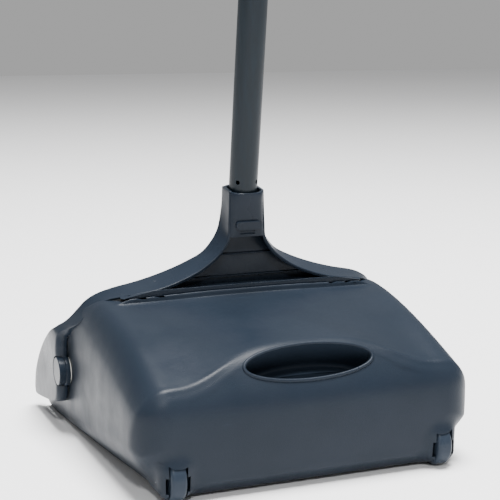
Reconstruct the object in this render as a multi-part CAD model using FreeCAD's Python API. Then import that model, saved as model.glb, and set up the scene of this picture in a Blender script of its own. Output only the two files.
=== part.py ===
"""Upright dustpan on two rear wheels: hooded pan, swinging yoke and long leaning handle.

Working axes: X to the right as seen from behind, Y forward to the mouth, Z up, millimetres.
The model is laid out with y = 0 over the wheel axles and z = 0 on the floor. On export every
piece moves back by ORIGIN_Y, so that the origin lies on the floor under the middle of the box.
"""
import FreeCAD, Part
import math
import os

from FreeCAD import Vector as V

# ---------------------------------------------------------------- driving sizes
# Pan
MOUTH_HALF_WIDTH = 147.5     # outside of the side walls at the mouth
REAR_HALF_WIDTH = 141.0      # outside of the side walls over the wheels
TAPER_LENGTH = 165.0         # the walls reach the mouth width this far ahead of the wheels
LIP_Y = 279.0                # front edge of the floor
RIDGE_Y = 146.0              # front edge of the hood on the centre line
WALL = 2.6                   # moulded wall of the pan
HOOD_REAR_Z = 111.0          # hood crown over the grip
HOOD_RIDGE_Z = 130.5         # hood crown at its front edge
SHOULDER_REAR_Z = 88.0       # hood height beside the crown, over the wheels
SHOULDER_RIDGE_Z = 127.5     # hood height beside the crown, at the front edge
SHOULDER_RADIUS = 27.0       # rounding from the hood into the side wall
HOOD_FALL = 1.9              # above 1, the crown stays broad and then drops to the shoulders
FLOOR_REAR_Z = 2.6           # underside of the floor over the wheels
LAND_LENGTH = 14.0           # flat strip under the front lip
LIP_THICKNESS = 0.9
BILGE_HEIGHT = 34.0          # height of the bevel along each lower side, at the rear
BILGE_SLOPE = 0.85           # bevel width for each unit of its height
BACK_Y = -14.5               # rearmost line of the back face
REAR_CORNER_RADIUS = 34.0    # plan rounding of the rear corners
BACK_FOOT_Y = -10.5          # lower edge of the back face
BACK_FOOT_Z = 13.0

# Grip pocket in the sloped brow of the back face
GRIP_HALF_LENGTH = 55.0
GRIP_HALF_HEIGHT = 13.8
GRIP_Y = 1.0
GRIP_Z = 98.5
GRIP_SLOPE_DEG = 35.0        # the brow leans forward this far from upright
GRIP_DEPTH = 24.0

# Wheels
WHEEL_X = 114.4
WHEEL_RADIUS = 18.8
WHEEL_WIDTH = 13.0
WHEEL_EDGE_RADIUS = 3.0
WHEEL_GAP = 1.0              # pocket clearance round the tread
AXLE_RADIUS = 2.5
AXLE_RUNNING_GAP = 0.08
AXLE_LENGTH = 28.0
POD_HALF_WIDTH = 15.5
POD_WALL = 3.0
POD_PROUD = 2.3              # how far the pod bulges behind the back face
WHEEL_PROUD = 3.4            # how far the wheel stands below the pod
NOTCH_HALF_WIDTH = 9.8       # drop-in notch beside the wheel
NOTCH_LOW = 10.8
NOTCH_HIGH = 23.3

# Side pivots
PIVOT_Y = 190.0
PIVOT_Z = 58.0
PIN_RADIUS = 6.0
PIN_HEAD_RADIUS = 12.6
EAR_RADIUS = 13.4
EAR_THICKNESS = 4.0
PIVOT_RUNNING_GAP = 0.08
WASHER_THICKNESS = 0.8
WASHER_RADIUS = 11.5
PIVOT_BOSS_RADIUS = 10.5
PIVOT_BOSS_LENGTH = 8.0
RETAINER_RADIUS = 10.0
RETAINER_THICKNESS = 0.8
SIDE_GAP = 0.2               # each face-to-face gap in the pivot stack
SWING_CLEAR_RADIUS = 49.0    # the yoke's arms keep this far from the pivot inside the cheeks

# Yoke
CHEEK_THICKNESS = 10.0
YOKE_WALL = 3.0
YOKE_REAR_Y = 134.0          # plane of the flanges' rear edges
YOKE_FRONT_Y = 165.0         # front face of the yoke panel
YOKE_SHELF_Z = 135.5         # top of the shelf at the foot of the dish
YOKE_APRON_Z = 119.0         # lower edge of the panel in front of the hood
YOKE_GAP = 0.8               # between the yoke and the hood all round
DISH_TOP_Z = 177.0           # the dish ends here against the back of the socket
# Half-width and height of the flanges' rear edges, then of the panel's front edge
REAR_FLARE = [(90.0, 135.6), (70.0, 140.0), (44.6, 150.0), (29.8, 160.0), (20.8, 170.0),
              (17.6, 180.0)]
FRONT_FLARE = [(112.0, 135.6), (87.0, 140.0), (59.7, 150.0), (38.7, 160.0), (27.5, 171.0),
               (22.0, 183.0)]
RIB_HEIGHTS = (140.5, 160.8)
RIB_DEPTH = 3.0
RIB_THICKNESS = 1.6

# Handle
LEAN_DEG = 8.2               # the handle leans back towards the user
FOOT_Y = 153.0               # the handle's axis crosses FOOT_Z here
FOOT_Z = 150.0
TUBE_RADIUS = 12.5
TUBE_WALL = 1.2
OVERALL_HEIGHT = 940.0
SOCKET_TOP = 69.0            # along the handle's axis, from the foot
SOCKET_FLOOR = 31.0
PLUG_FLANGE = 2.0
PLUG_LENGTH = 6.0
SOCKET_MIDDLE = 30.0
SOCKET_HALF_WIDTH = 17.7
SOCKET_CORNER = 11.0
SOCKET_FIT = 0.1
SOCKET_MOUTH_GAP = 2.6
SOCKET_MOUTH_DEPTH = 7.0
TUBE_HOLE_RADIUS = 1.9
TUBE_HOLE_RISE = 8.0         # above the socket's rim
BUTTON_RADIUS = 3.9
BUTTON_GAP = 0.1
BUTTON_RISE = 54.0           # along the axis, from the foot
BUTTON_PROUD = 0.2           # beyond the socket's front face
BUTTON_INNER_GRIP = 2.2      # length of button left inside the tube
THUMB_DISH_RADIUS = 12.0
THUMB_DISH_DEPTH = 3.0
SPRING_THICKNESS = 0.6
GRIP_LENGTH = 128.0
GRIP_WALL = 3.0
CAP_LENGTH = 36.0
CAP_SOCKET = 8.0             # how far the tube's end stands up inside the cap
CAP_TONGUE = 9.0
EYE_RADIUS = 4.5
EYE_DROP = 9.0               # from the top of the handle to the middle of the eye
CLIP_RISE = 560.0
CLIP_HEIGHT = 24.0
CLIP_WALL = 3.0
CLIP_BORE_RADIUS = 11.5
CLIP_MOUTH_DEG = 100.0
CLIP_REACH = 34.0            # from the tube's axis to the axis of the clipped broom
RIVET_RADIUS = 1.75
RIVET_HEAD_SPHERE = 4.6      # radius of the ball that the domed head is cut from
RIVET_HEAD_RISE = 1.6
BADGE_HALF_WIDTH = 11.6
BADGE_HEIGHT = 6.6
BADGE_THICKNESS = 1.2
BADGE_RISE = 41.0
BAR_HALF_WIDTH = 7.0
BAR_HEIGHT = 2.6
BAR_DEPTH = 1.2
BAR_RISE = 34.0

# ---------------------------------------------------------------- derived places
LEAN = math.radians(LEAN_DEG)
CHEEK_INNER_X = MOUTH_HALF_WIDTH + 2 * SIDE_GAP + WASHER_THICKNESS
CHEEK_OUTER_X = CHEEK_INNER_X + CHEEK_THICKNESS
CHEEK_FRONT_Y = LIP_Y + 6.0
WHEEL_REAR_Y = -WHEEL_RADIUS
ORIGIN_Y = (CHEEK_FRONT_Y + WHEEL_REAR_Y) / 2
HANDLE_TOP = (OVERALL_HEIGHT - FOOT_Z) / math.cos(LEAN)
CAP_RADIUS = TUBE_RADIUS + GRIP_WALL
TUBE_FOOT = SOCKET_FLOOR + PLUG_FLANGE
TUBE_TOP = HANDLE_TOP - CAP_LENGTH + CAP_SOCKET
POD_RADIUS = WHEEL_RADIUS + WHEEL_GAP + POD_WALL
FAR = 1000.0                 # longer than anything on the dustpan


# ---------------------------------------------------------------- drawing helpers
def at_yz(y, z):
    return V(0, y, z)


def at_xz(x, z):
    return V(x, 0, z)


def at_xy(x, y):
    return V(x, y, 0)


def outline(corners, place):
    """Closed wire through corners (u, v, radius), each rounded by its own tangent arc."""
    edges = []
    starts = []
    ends = []
    arcs = []
    count = len(corners)
    for i, (u, v, radius) in enumerate(corners):
        here = place(u, v)
        before = place(*corners[i - 1][:2]) - here
        after = place(*corners[(i + 1) % count][:2]) - here
        if radius <= 0:
            starts.append(here)
            ends.append(here)
            arcs.append(None)
            continue
        half = before.getAngle(after) / 2
        reach = radius / math.tan(half)
        before.normalize()
        after.normalize()
        bisector = before + after
        bisector.normalize()
        middle = here + bisector * (radius / math.sin(half) - radius)
        starts.append(here + before * reach)
        ends.append(here + after * reach)
        arcs.append(middle)
    for i in range(count):
        if arcs[i] is not None:
            edges.append(Part.Arc(starts[i], arcs[i], ends[i]).toShape())
        following = starts[(i + 1) % count]
        if (following - ends[i]).Length > 1e-6:
            edges.append(Part.LineSegment(ends[i], following).toShape())
    return Part.Wire(edges)


def prism(wire, direction):
    return Part.Face(wire).extrude(direction)


def curve(points, start=None, end=None):
    """Smooth edge through points, with a set direction at either end if one is given."""
    spline = Part.BSplineCurve()
    if start is None:
        spline.interpolate(points)
    else:
        spline.interpolate(Points=points, InitialTangent=start, FinalTangent=end)
    return spline.toShape()


def line(a, b):
    return Part.LineSegment(a, b).toShape()


def slab_between(low, high):
    """Box from its lowest corner to its highest."""
    size = high - low
    return Part.makeBox(size.x, size.y, size.z, low)


def rod_x(radius, x_low, x_high, y, z):
    return Part.makeCylinder(radius, x_high - x_low, V(x_low, y, z), V(1, 0, 0))


def mirrored(shape):
    return shape.mirror(V(0, 0, 0), V(1, 0, 0))


def lean(shape):
    """Carry a piece built along +Z from the origin onto the handle's leaning axis."""
    moved = shape.copy()
    moved.rotate(V(0, 0, 0), V(1, 0, 0), LEAN_DEG)
    moved.translate(V(0, FOOT_Y, FOOT_Z))
    return moved


def one_solid(shape):
    """The single solid of a finished piece, with split faces joined again."""
    clean = shape.removeSplitter()
    return clean.Solids[0] if len(clean.Solids) == 1 else clean


# ---------------------------------------------------------------- pan
def pan_half_width(y):
    t = min(max(y / TAPER_LENGTH, -0.2), 1.0)
    return MOUTH_HALF_WIDTH - (MOUTH_HALF_WIDTH - REAR_HALF_WIDTH) * (1 - t) ** 2


def hood_crown(y):
    return HOOD_REAR_Z + (HOOD_RIDGE_Z - HOOD_REAR_Z) * y / RIDGE_Y


def hood_shoulder(y):
    t = min(y / RIDGE_Y, 1.0)
    rise = 1 - (1 - t) ** 1.6
    return SHOULDER_REAR_Z + (SHOULDER_RIDGE_Z - SHOULDER_REAR_Z) * rise


def floor_underside(y):
    return FLOOR_REAR_Z * (1 - y / (LIP_Y - LAND_LENGTH))


def bilge_height(y):
    return max(BILGE_HEIGHT * (1 - y / LIP_Y), 2.0)


def pan_section(y, inset):
    """Closed cross-section of the pan at y, moved inwards by inset (outwards if negative)."""
    side = pan_half_width(y)
    bottom = floor_underside(y)
    bevel = bilge_height(y)
    foot = side - BILGE_SLOPE * bevel - 0.5 * inset
    side = side - inset
    knee = bottom + bevel + 0.5 * inset
    radius = SHOULDER_RADIUS - inset
    shoulder = hood_shoulder(y) - inset
    crown = hood_crown(y) - inset
    floor = bottom + inset
    run = side - radius
    turn = radius * math.sqrt(0.5)
    edges = [line(V(-foot, y, floor), V(foot, y, floor))]
    edges.append(line(V(foot, y, floor), V(side, y, knee)))
    edges.append(line(V(side, y, knee), V(side, y, shoulder - radius)))
    edges.append(Part.Arc(V(side, y, shoulder - radius),
                          V(run + turn, y, shoulder - radius + turn),
                          V(run, y, shoulder)).toShape())
    drop = crown - shoulder
    top = []
    for i in range(9):
        share = i / 4 - 1
        fall = (1 - math.cos(math.pi * share)) / 2
        top.append(V(-share * run, y, crown - drop * fall ** HOOD_FALL))
    edges.append(curve(top, V(-1, 0, 0), V(-1, 0, 0)))
    edges.append(Part.Arc(V(-run, y, shoulder),
                          V(-run - turn, y, shoulder - radius + turn),
                          V(-side, y, shoulder - radius)).toShape())
    edges.append(line(V(-side, y, shoulder - radius), V(-side, y, knee)))
    edges.append(line(V(-side, y, knee), V(-foot, y, floor)))
    return Part.Wire(edges)


def back_profile(inset):
    """Prism that keeps what lies in front of the back face, moved forward by inset."""
    slope = math.radians(GRIP_SLOPE_DEG)
    along = V(0, math.sin(slope), math.cos(slope))
    middle = V(0, GRIP_Y + inset * math.cos(slope), GRIP_Z - inset * math.sin(slope))
    brow = middle - along * (GRIP_HALF_HEIGHT * 0.9)
    crest = middle + along * 60
    foot = V(0, BACK_FOOT_Y + inset, BACK_FOOT_Z + 0.4 * inset)
    belly = V(0, BACK_Y + inset, 0.55 * GRIP_Z)
    sole = V(0, BACK_FOOT_Y + BACK_FOOT_Z + inset, 0)
    face = curve([brow, belly, foot], along * -1, V(0, 0.35, -1))
    edges = [line(crest, brow), face, line(foot, sole)]
    corners = [sole, V(0, sole.y, -40), V(0, FAR, -40), V(0, FAR, crest.z), crest]
    for a, b in zip(corners, corners[1:]):
        edges.append(line(a, b))
    return prism(Part.Wire(edges), V(2 * FAR, 0, 0)).translated(V(-FAR, 0, 0))


def plan_profile(inset):
    """Prism of the pan's plan outline: rounded rear corners, open to the front.

    Its sides spread at least as fast as the side walls do, so that they only cut the corners.
    """
    rear = BACK_Y + inset
    half = pan_half_width(0) - inset
    spread = max(0.1, 2 * (MOUTH_HALF_WIDTH - REAR_HALF_WIDTH) / TAPER_LENGTH)
    flare = spread * (FAR - rear)
    radius = REAR_CORNER_RADIUS - inset
    corners = [(-half, rear, radius), (half, rear, radius),
               (half + flare, FAR, 0), (-half - flare, FAR, 0)]
    return prism(outline(corners, at_xy), V(0, 0, FAR)).translated(V(0, 0, -FAR / 4))


def pan_body(inset):
    """The pan's outer form, without its mouth, moved inwards by inset."""
    stations = [-30, 0, 40, 85, RIDGE_Y, 1.2 * TAPER_LENGTH, LIP_Y + 20]
    sections = [pan_section(y, inset) for y in stations]
    body = Part.makeLoft(sections, True, False)
    return body.common(back_profile(inset)).common(plan_profile(inset))


def mouth_cut(forward):
    """Everything ahead of the mouth's edge, that edge moved forward."""
    edge = [(RIDGE_Y + 6, HOOD_RIDGE_Z - 4), (RIDGE_Y + 44, 103), (RIDGE_Y + 89, 70),
            (RIDGE_Y + 120, 40), (LIP_Y, 8)]
    rim = curve([at_yz(y + forward, z + forward) for y, z in edge])
    start = at_yz(edge[0][0] + forward, edge[0][1] + forward)
    end = at_yz(LIP_Y + forward, 8 + forward)
    corners = [end, at_yz(end.y, -40), at_yz(FAR, -40), at_yz(FAR, FAR / 2),
               at_yz(RIDGE_Y + forward, FAR / 2), at_yz(RIDGE_Y + forward, start.z), start]
    edges = [rim]
    for a, b in zip(corners, corners[1:]):
        edges.append(line(a, b))
    return prism(Part.Wire(edges), V(2 * FAR, 0, 0)).translated(V(-FAR, 0, 0))


def grip_prism(grow, depth, above):
    """Elliptic plug along the grip's own axis, from above the brow to depth below it."""
    ellipse = Part.Ellipse(V(0, 0, 0), GRIP_HALF_LENGTH + grow, GRIP_HALF_HEIGHT + grow)
    plug = prism(Part.Wire([ellipse.toShape()]), V(0, 0, depth + above))
    plug.translate(V(0, 0, -depth))
    plug.rotate(V(0, 0, 0), V(1, 0, 0), GRIP_SLOPE_DEG)
    plug.translate(V(0, GRIP_Y, GRIP_Z))
    return plug


def wheel_pod():
    """Solid housing of the right wheel, before its pocket is cut."""
    rear = BACK_Y - POD_PROUD
    barrel = rod_x(POD_RADIUS, WHEEL_X - POD_HALF_WIDTH, WHEEL_X + POD_HALF_WIDTH, 0, WHEEL_RADIUS)
    keep = outline([(rear, WHEEL_PROUD, 9), (POD_RADIUS, WHEEL_PROUD, 0),
                    (POD_RADIUS, 2 * POD_RADIUS, 0), (BACK_Y, 2 * POD_RADIUS, 0),
                    (rear, WHEEL_RADIUS + 12, 12)], at_yz)
    return barrel.common(prism(keep, V(2 * WHEEL_X, 0, 0)))


def wheel_pocket():
    """Slot for the right wheel, its two drop-in notches and the bore for its axle."""
    half = WHEEL_WIDTH / 2 + WHEEL_GAP
    slot = rod_x(WHEEL_RADIUS + WHEEL_GAP, WHEEL_X - half, WHEEL_X + half, 0, WHEEL_RADIUS)
    notch = slab_between(V(WHEEL_X - NOTCH_HALF_WIDTH, -2 * WHEEL_RADIUS, NOTCH_LOW),
                         V(WHEEL_X + NOTCH_HALF_WIDTH, AXLE_RADIUS + 1, NOTCH_HIGH))
    half_axle = AXLE_LENGTH / 2
    bore = rod_x(AXLE_RADIUS, WHEEL_X - half_axle, WHEEL_X + half_axle, 0, WHEEL_RADIUS)
    return slot.fuse(notch).fuse(bore)


def make_pan():
    shell = pan_body(0).cut(pan_body(WALL))
    cup = grip_prism(WALL, GRIP_DEPTH + WALL, GRIP_DEPTH)
    shell = shell.fuse(cup.common(pan_body(0)))
    for side in (1, -1):
        pod = wheel_pod()
        boss = rod_x(PIVOT_BOSS_RADIUS, MOUTH_HALF_WIDTH - WALL - PIVOT_BOSS_LENGTH,
                     MOUTH_HALF_WIDTH - WALL / 2, PIVOT_Y, PIVOT_Z)
        if side < 0:
            pod = mirrored(pod)
            boss = mirrored(boss)
        shell = shell.fuse(pod).fuse(boss)
    floor = slab_between(V(-FAR, -FAR, -FAR), V(FAR, FAR, 0))
    shell = shell.cut(floor).cut(mouth_cut(0))
    lip = outline([(LIP_Y - 2 * LAND_LENGTH, WALL + 1, 0), (LIP_Y + 1, LIP_THICKNESS, 0),
                   (LIP_Y + 1, WALL + 5, 0), (LIP_Y - 2 * LAND_LENGTH, WALL + 5, 0)], at_yz)
    inner_half = MOUTH_HALF_WIDTH - WALL - 2.0
    ramp = prism(lip, V(2 * inner_half, 0, 0)).translated(V(-inner_half, 0, 0))
    shell = shell.cut(ramp).cut(grip_prism(0, GRIP_DEPTH, GRIP_DEPTH))
    for side in (1, -1):
        pocket = wheel_pocket()
        pin_hole = rod_x(PIN_RADIUS, 0.5 * MOUTH_HALF_WIDTH, FAR, PIVOT_Y, PIVOT_Z)
        if side < 0:
            pocket = mirrored(pocket)
            pin_hole = mirrored(pin_hole)
        shell = shell.cut(pocket).cut(pin_hole)
    return one_solid(shell)


# ---------------------------------------------------------------- wheels
def make_wheel():
    half = WHEEL_WIDTH / 2
    bore = AXLE_RADIUS + AXLE_RUNNING_GAP
    disc = rod_x(WHEEL_RADIUS, WHEEL_X - half, WHEEL_X + half, 0, WHEEL_RADIUS)
    rims = [e for e in disc.Edges if e.isClosed()]
    disc = disc.makeFillet(WHEEL_EDGE_RADIUS, rims)
    return one_solid(disc.cut(rod_x(bore, 0, 2 * WHEEL_X, 0, WHEEL_RADIUS)))


def make_axle():
    half = AXLE_LENGTH / 2
    return rod_x(AXLE_RADIUS, WHEEL_X - half, WHEEL_X + half, 0, WHEEL_RADIUS)


# ---------------------------------------------------------------- side pivots
def make_pivot_pin():
    """Right pivot pin: wide head flush with the cheek, shank pressed in the pan's boss."""
    inner = MOUTH_HALF_WIDTH - WALL - PIVOT_BOSS_LENGTH - RETAINER_THICKNESS - 2.0
    under_head = CHEEK_INNER_X + EAR_THICKNESS + SIDE_GAP
    shank = rod_x(PIN_RADIUS, inner, under_head + 1, PIVOT_Y, PIVOT_Z)
    head = rod_x(PIN_HEAD_RADIUS, under_head, CHEEK_OUTER_X - SIDE_GAP, PIVOT_Y, PIVOT_Z)
    rim = [e for e in head.Edges if e.isClosed() and e.CenterOfMass.x > under_head + 1]
    return one_solid(head.makeFillet(1.0, rim).fuse(shank))


def make_pivot_washer():
    low = MOUTH_HALF_WIDTH + SIDE_GAP / 2
    ring = rod_x(WASHER_RADIUS, low, low + WASHER_THICKNESS, PIVOT_Y, PIVOT_Z)
    return ring.cut(rod_x(PIN_RADIUS + PIVOT_RUNNING_GAP, 0, FAR, PIVOT_Y, PIVOT_Z))


def make_retainer():
    """Toothed push-on ring that grips the pin's inner end against the boss."""
    high = MOUTH_HALF_WIDTH - WALL - PIVOT_BOSS_LENGTH
    ring = rod_x(RETAINER_RADIUS, high - RETAINER_THICKNESS, high, PIVOT_Y, PIVOT_Z)
    return ring.cut(rod_x(PIN_RADIUS, 0, FAR, PIVOT_Y, PIVOT_Z))


# ---------------------------------------------------------------- yoke
def visor_outline(y, inset, flare):
    """Bell-shaped outline of the yoke's dish at y: narrow at the socket, wide at the shelf."""
    points = [V(x - inset, y, z - inset) for x, z in flare]
    right = curve(points)
    left = curve([V(-p.x, p.y, p.z) for p in reversed(points)])
    foot = V(points[0].x, y, YOKE_APRON_Z)
    foot_left = V(-foot.x, y, foot.z)
    edges = [line(foot_left, foot), line(foot, points[0]), right]
    edges.append(line(points[-1], V(-points[-1].x, y, points[-1].z)))
    edges.append(left)
    edges.append(line(V(-points[0].x, y, points[0].z), foot_left))
    return Part.Wire(edges)


def visor(inset, y_rear, y_front, foot_z):
    """Loft of the dish between its rear and its front outline, kept above foot_z."""
    rear = visor_outline(y_rear, inset, REAR_FLARE)
    front = visor_outline(y_front, inset, FRONT_FLARE)
    bell = Part.makeLoft([rear, front], True, True)
    return bell.common(slab_between(V(-FAR, -FAR, foot_z), V(FAR, FAR, FAR)))


def arm_band():
    """Front view of the panel and arms: outer contour down to the cheeks, open in the middle."""
    outer = [(112, 135.6), (130, 129), (143, 119.5), (CHEEK_OUTER_X - 4, 105),
             (CHEEK_OUTER_X, 88)]
    side = curve([at_xz(x, z) for x, z in outer], V(1, 0, -0.2), V(0, 0, -1))
    start = at_xz(*outer[0])
    end = at_xz(*outer[-1])
    inner = [end, at_xz(CHEEK_OUTER_X, 0), at_xz(CHEEK_INNER_X, 0), at_xz(CHEEK_INNER_X, 88),
             at_xz(138, 103), at_xz(112, 113), at_xz(0, YOKE_APRON_Z), at_xz(0, start.z), start]
    edges = [side]
    for a, b in zip(inner, inner[1:]):
        edges.append(line(a, b))
    return prism(Part.Wire(edges), V(0, FAR, 0))


def arm_side():
    """Side view of the arm and cheek: from the panel forward and down beside the mouth."""
    front = [(YOKE_FRONT_Y, 150), (178, 129), (196, 110), (212, 92), (237, 75), (261, 57),
             (276, 40), (CHEEK_FRONT_Y, 21)]
    edge = curve([at_yz(y, z) for y, z in front])
    start = at_yz(*front[0])
    end = at_yz(*front[-1])
    rest = [end, at_yz(CHEEK_FRONT_Y - 3, 15), at_yz(CHEEK_FRONT_Y - 10, 13.5), at_yz(201, 28),
            at_yz(206, 60), at_yz(205, 92), at_yz(190, 104), at_yz(RIDGE_Y + YOKE_GAP, 116),
            at_yz(RIDGE_Y + YOKE_GAP, 150), start]
    edges = [edge]
    for a, b in zip(rest, rest[1:]):
        edges.append(line(a, b))
    return prism(Part.Wire(edges), V(FAR, 0, 0))


def socket_section(rise, half_width, half_depth, corner):
    corners = [(-half_width, -half_depth, corner), (half_width, -half_depth, corner),
               (half_width, half_depth, corner), (-half_width, half_depth, corner)]
    wire = outline(corners, at_xy)
    wire.translate(V(0, 0, rise))
    return wire


def socket_body():
    sections = [socket_section(8, 25.5, SOCKET_HALF_WIDTH + 1.3, SOCKET_CORNER),
                socket_section(SOCKET_MIDDLE, 21.6, SOCKET_HALF_WIDTH + 0.8, SOCKET_CORNER),
                socket_section(SOCKET_TOP, SOCKET_HALF_WIDTH, SOCKET_HALF_WIDTH, SOCKET_CORNER)]
    return lean(Part.makeLoft(sections, True, False))


def socket_bar():
    """Short sunk bar below the badge, on the back of the socket."""
    low = V(-BAR_HALF_WIDTH, -SOCKET_HALF_WIDTH - 9, BAR_RISE - BAR_HEIGHT / 2)
    return slab_between(low, V(BAR_HALF_WIDTH, BAR_DEPTH - SOCKET_HALF_WIDTH - 0.8,
                               BAR_RISE + BAR_HEIGHT / 2))


def make_yoke():
    dish_wall = visor(0, YOKE_REAR_Y, YOKE_FRONT_Y, YOKE_SHELF_Z - YOKE_WALL)
    dish = visor(YOKE_WALL, YOKE_REAR_Y - 0.5, YOKE_FRONT_Y - YOKE_WALL, YOKE_SHELF_Z)
    below_socket = slab_between(V(-FAR, -FAR, 0), V(FAR, FAR, DISH_TOP_Z))
    arm = arm_band().common(arm_side())
    body = dish_wall.fuse(arm).fuse(mirrored(arm))
    channel = slab_between(V(-104, RIDGE_Y + YOKE_GAP + YOKE_WALL, 0),
                           V(104, YOKE_FRONT_Y - YOKE_WALL, YOKE_SHELF_Z - YOKE_WALL))
    body = body.cut(channel)
    body = body.fuse(socket_body()).cut(dish.common(below_socket))
    for height in RIB_HEIGHTS:
        low = YOKE_FRONT_Y - YOKE_WALL - RIB_DEPTH
        rib = slab_between(V(-FAR, low, height - RIB_THICKNESS / 2),
                           V(FAR, YOKE_FRONT_Y - YOKE_WALL, height + RIB_THICKNESS / 2))
        body = body.fuse(rib.common(dish_wall))
    clearance = pan_body(-YOKE_GAP).cut(mouth_cut(YOKE_GAP))
    ear_high = CHEEK_INNER_X + EAR_THICKNESS
    for side in (1, -1):
        ear = rod_x(EAR_RADIUS, CHEEK_INNER_X, ear_high, PIVOT_Y, PIVOT_Z)
        link = slab_between(V(CHEEK_INNER_X, PIVOT_Y, PIVOT_Z - EAR_RADIUS),
                            V(ear_high, 210, PIVOT_Z + EAR_RADIUS))
        seat = rod_x(PIN_HEAD_RADIUS + 0.8, ear_high, FAR, PIVOT_Y, PIVOT_Z)
        hole = rod_x(PIN_RADIUS + PIVOT_RUNNING_GAP, 0.5 * MOUTH_HALF_WIDTH, FAR,
                     PIVOT_Y, PIVOT_Z)
        if side < 0:
            ear, link, seat, hole = (mirrored(s) for s in (ear, link, seat, hole))
        body = body.fuse(ear).fuse(link).cut(seat).cut(hole)
    swing = rod_x(SWING_CLEAR_RADIUS, -CHEEK_INNER_X, CHEEK_INNER_X, PIVOT_Y, PIVOT_Z)
    body = body.cut(clearance).cut(swing)
    thumb_y = SOCKET_HALF_WIDTH - THUMB_DISH_DEPTH + THUMB_DISH_RADIUS
    body = body.cut(lean(Part.makeSphere(THUMB_DISH_RADIUS, V(0, thumb_y, BUTTON_RISE))))
    bore = Part.makeCylinder(TUBE_RADIUS + SOCKET_FIT, FAR, V(0, 0, SOCKET_FLOOR))
    mouth = Part.makeCylinder(TUBE_RADIUS + SOCKET_MOUTH_GAP, FAR,
                              V(0, 0, SOCKET_TOP - SOCKET_MOUTH_DEPTH))
    button = Part.makeCylinder(BUTTON_RADIUS + BUTTON_GAP, FAR, V(0, 0, BUTTON_RISE), V(0, 1, 0))
    body = body.cut(lean(bore)).cut(lean(mouth)).cut(lean(button)).cut(make_badge())
    return one_solid(body.cut(lean(socket_bar())))


# ---------------------------------------------------------------- handle
def make_tube():
    length = TUBE_TOP - TUBE_FOOT
    foot = V(0, 0, TUBE_FOOT)
    tube = Part.makeCylinder(TUBE_RADIUS, length, foot)
    tube = tube.cut(Part.makeCylinder(TUBE_RADIUS - TUBE_WALL, length, foot))
    hole_rise = SOCKET_TOP + TUBE_HOLE_RISE
    for direction in (V(-1, -1, 0), V(1, -1, 0)):
        tube = tube.cut(Part.makeCylinder(TUBE_HOLE_RADIUS, FAR, V(0, 0, hole_rise), direction))
    button = Part.makeCylinder(BUTTON_RADIUS + BUTTON_GAP, FAR, V(0, 0, BUTTON_RISE), V(0, 1, 0))
    middle = CLIP_RISE + CLIP_HEIGHT / 2
    rivet = Part.makeCylinder(RIVET_RADIUS, FAR, V(0, 0, middle), V(0, -1, 0))
    return lean(one_solid(tube.cut(button).cut(rivet)))


def make_button():
    """Domed button standing through the tube and the front of the socket."""
    inner = TUBE_RADIUS - TUBE_WALL - BUTTON_INNER_GRIP
    outer = SOCKET_HALF_WIDTH + BUTTON_PROUD
    stem = Part.makeCylinder(BUTTON_RADIUS, outer - inner, V(0, inner, BUTTON_RISE), V(0, 1, 0))
    tip = [e for e in stem.Edges if e.isClosed() and e.CenterOfMass.y > outer - 0.01]
    return lean(stem.makeFillet(1.6, tip))


def make_button_spring():
    """Leaf bent like a hairpin: one leg bears on the tube, the other under the button."""
    inside = TUBE_RADIUS - TUBE_WALL - 0.3
    under = TUBE_RADIUS - TUBE_WALL - BUTTON_INNER_GRIP - 0.3
    half = 3.0
    top = BUTTON_RISE + 6
    bend = TUBE_FOOT + PLUG_LENGTH + 1
    path = [(-inside, top, 0), (-inside, bend, 5), (under, bend, 5), (under, top, 0),
            (under - SPRING_THICKNESS, top, 0),
            (under - SPRING_THICKNESS, bend + SPRING_THICKNESS, 4),
            (SPRING_THICKNESS - inside, bend + SPRING_THICKNESS, 4),
            (SPRING_THICKNESS - inside, top, 0)]
    leaf = prism(outline(path, at_yz), V(2 * half, 0, 0)).translated(V(-half, 0, 0))
    round_bore = Part.makeCylinder(TUBE_RADIUS - TUBE_WALL - 0.1, FAR)
    return lean(leaf.common(round_bore))


def make_tube_plug():
    """Plug in the foot of the tube, whose flange stands on the socket's floor."""
    flange = Part.makeCylinder(TUBE_RADIUS, PLUG_FLANGE, V(0, 0, SOCKET_FLOOR))
    core = Part.makeCylinder(TUBE_RADIUS - TUBE_WALL, PLUG_LENGTH, V(0, 0, TUBE_FOOT))
    return lean(one_solid(flange.fuse(core)))


def make_grip():
    """Ribbed soft sleeve over the top of the tube."""
    low = HANDLE_TOP - CAP_LENGTH - GRIP_LENGTH
    sleeve = Part.makeCylinder(TUBE_RADIUS + GRIP_WALL, GRIP_LENGTH, V(0, 0, low))
    ends = [e for e in sleeve.Edges if e.isClosed()]
    sleeve = sleeve.makeFillet(1.5, ends)
    return lean(one_solid(sleeve.cut(Part.makeCylinder(TUBE_RADIUS, FAR, V(0, 0, low - 1)))))


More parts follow.
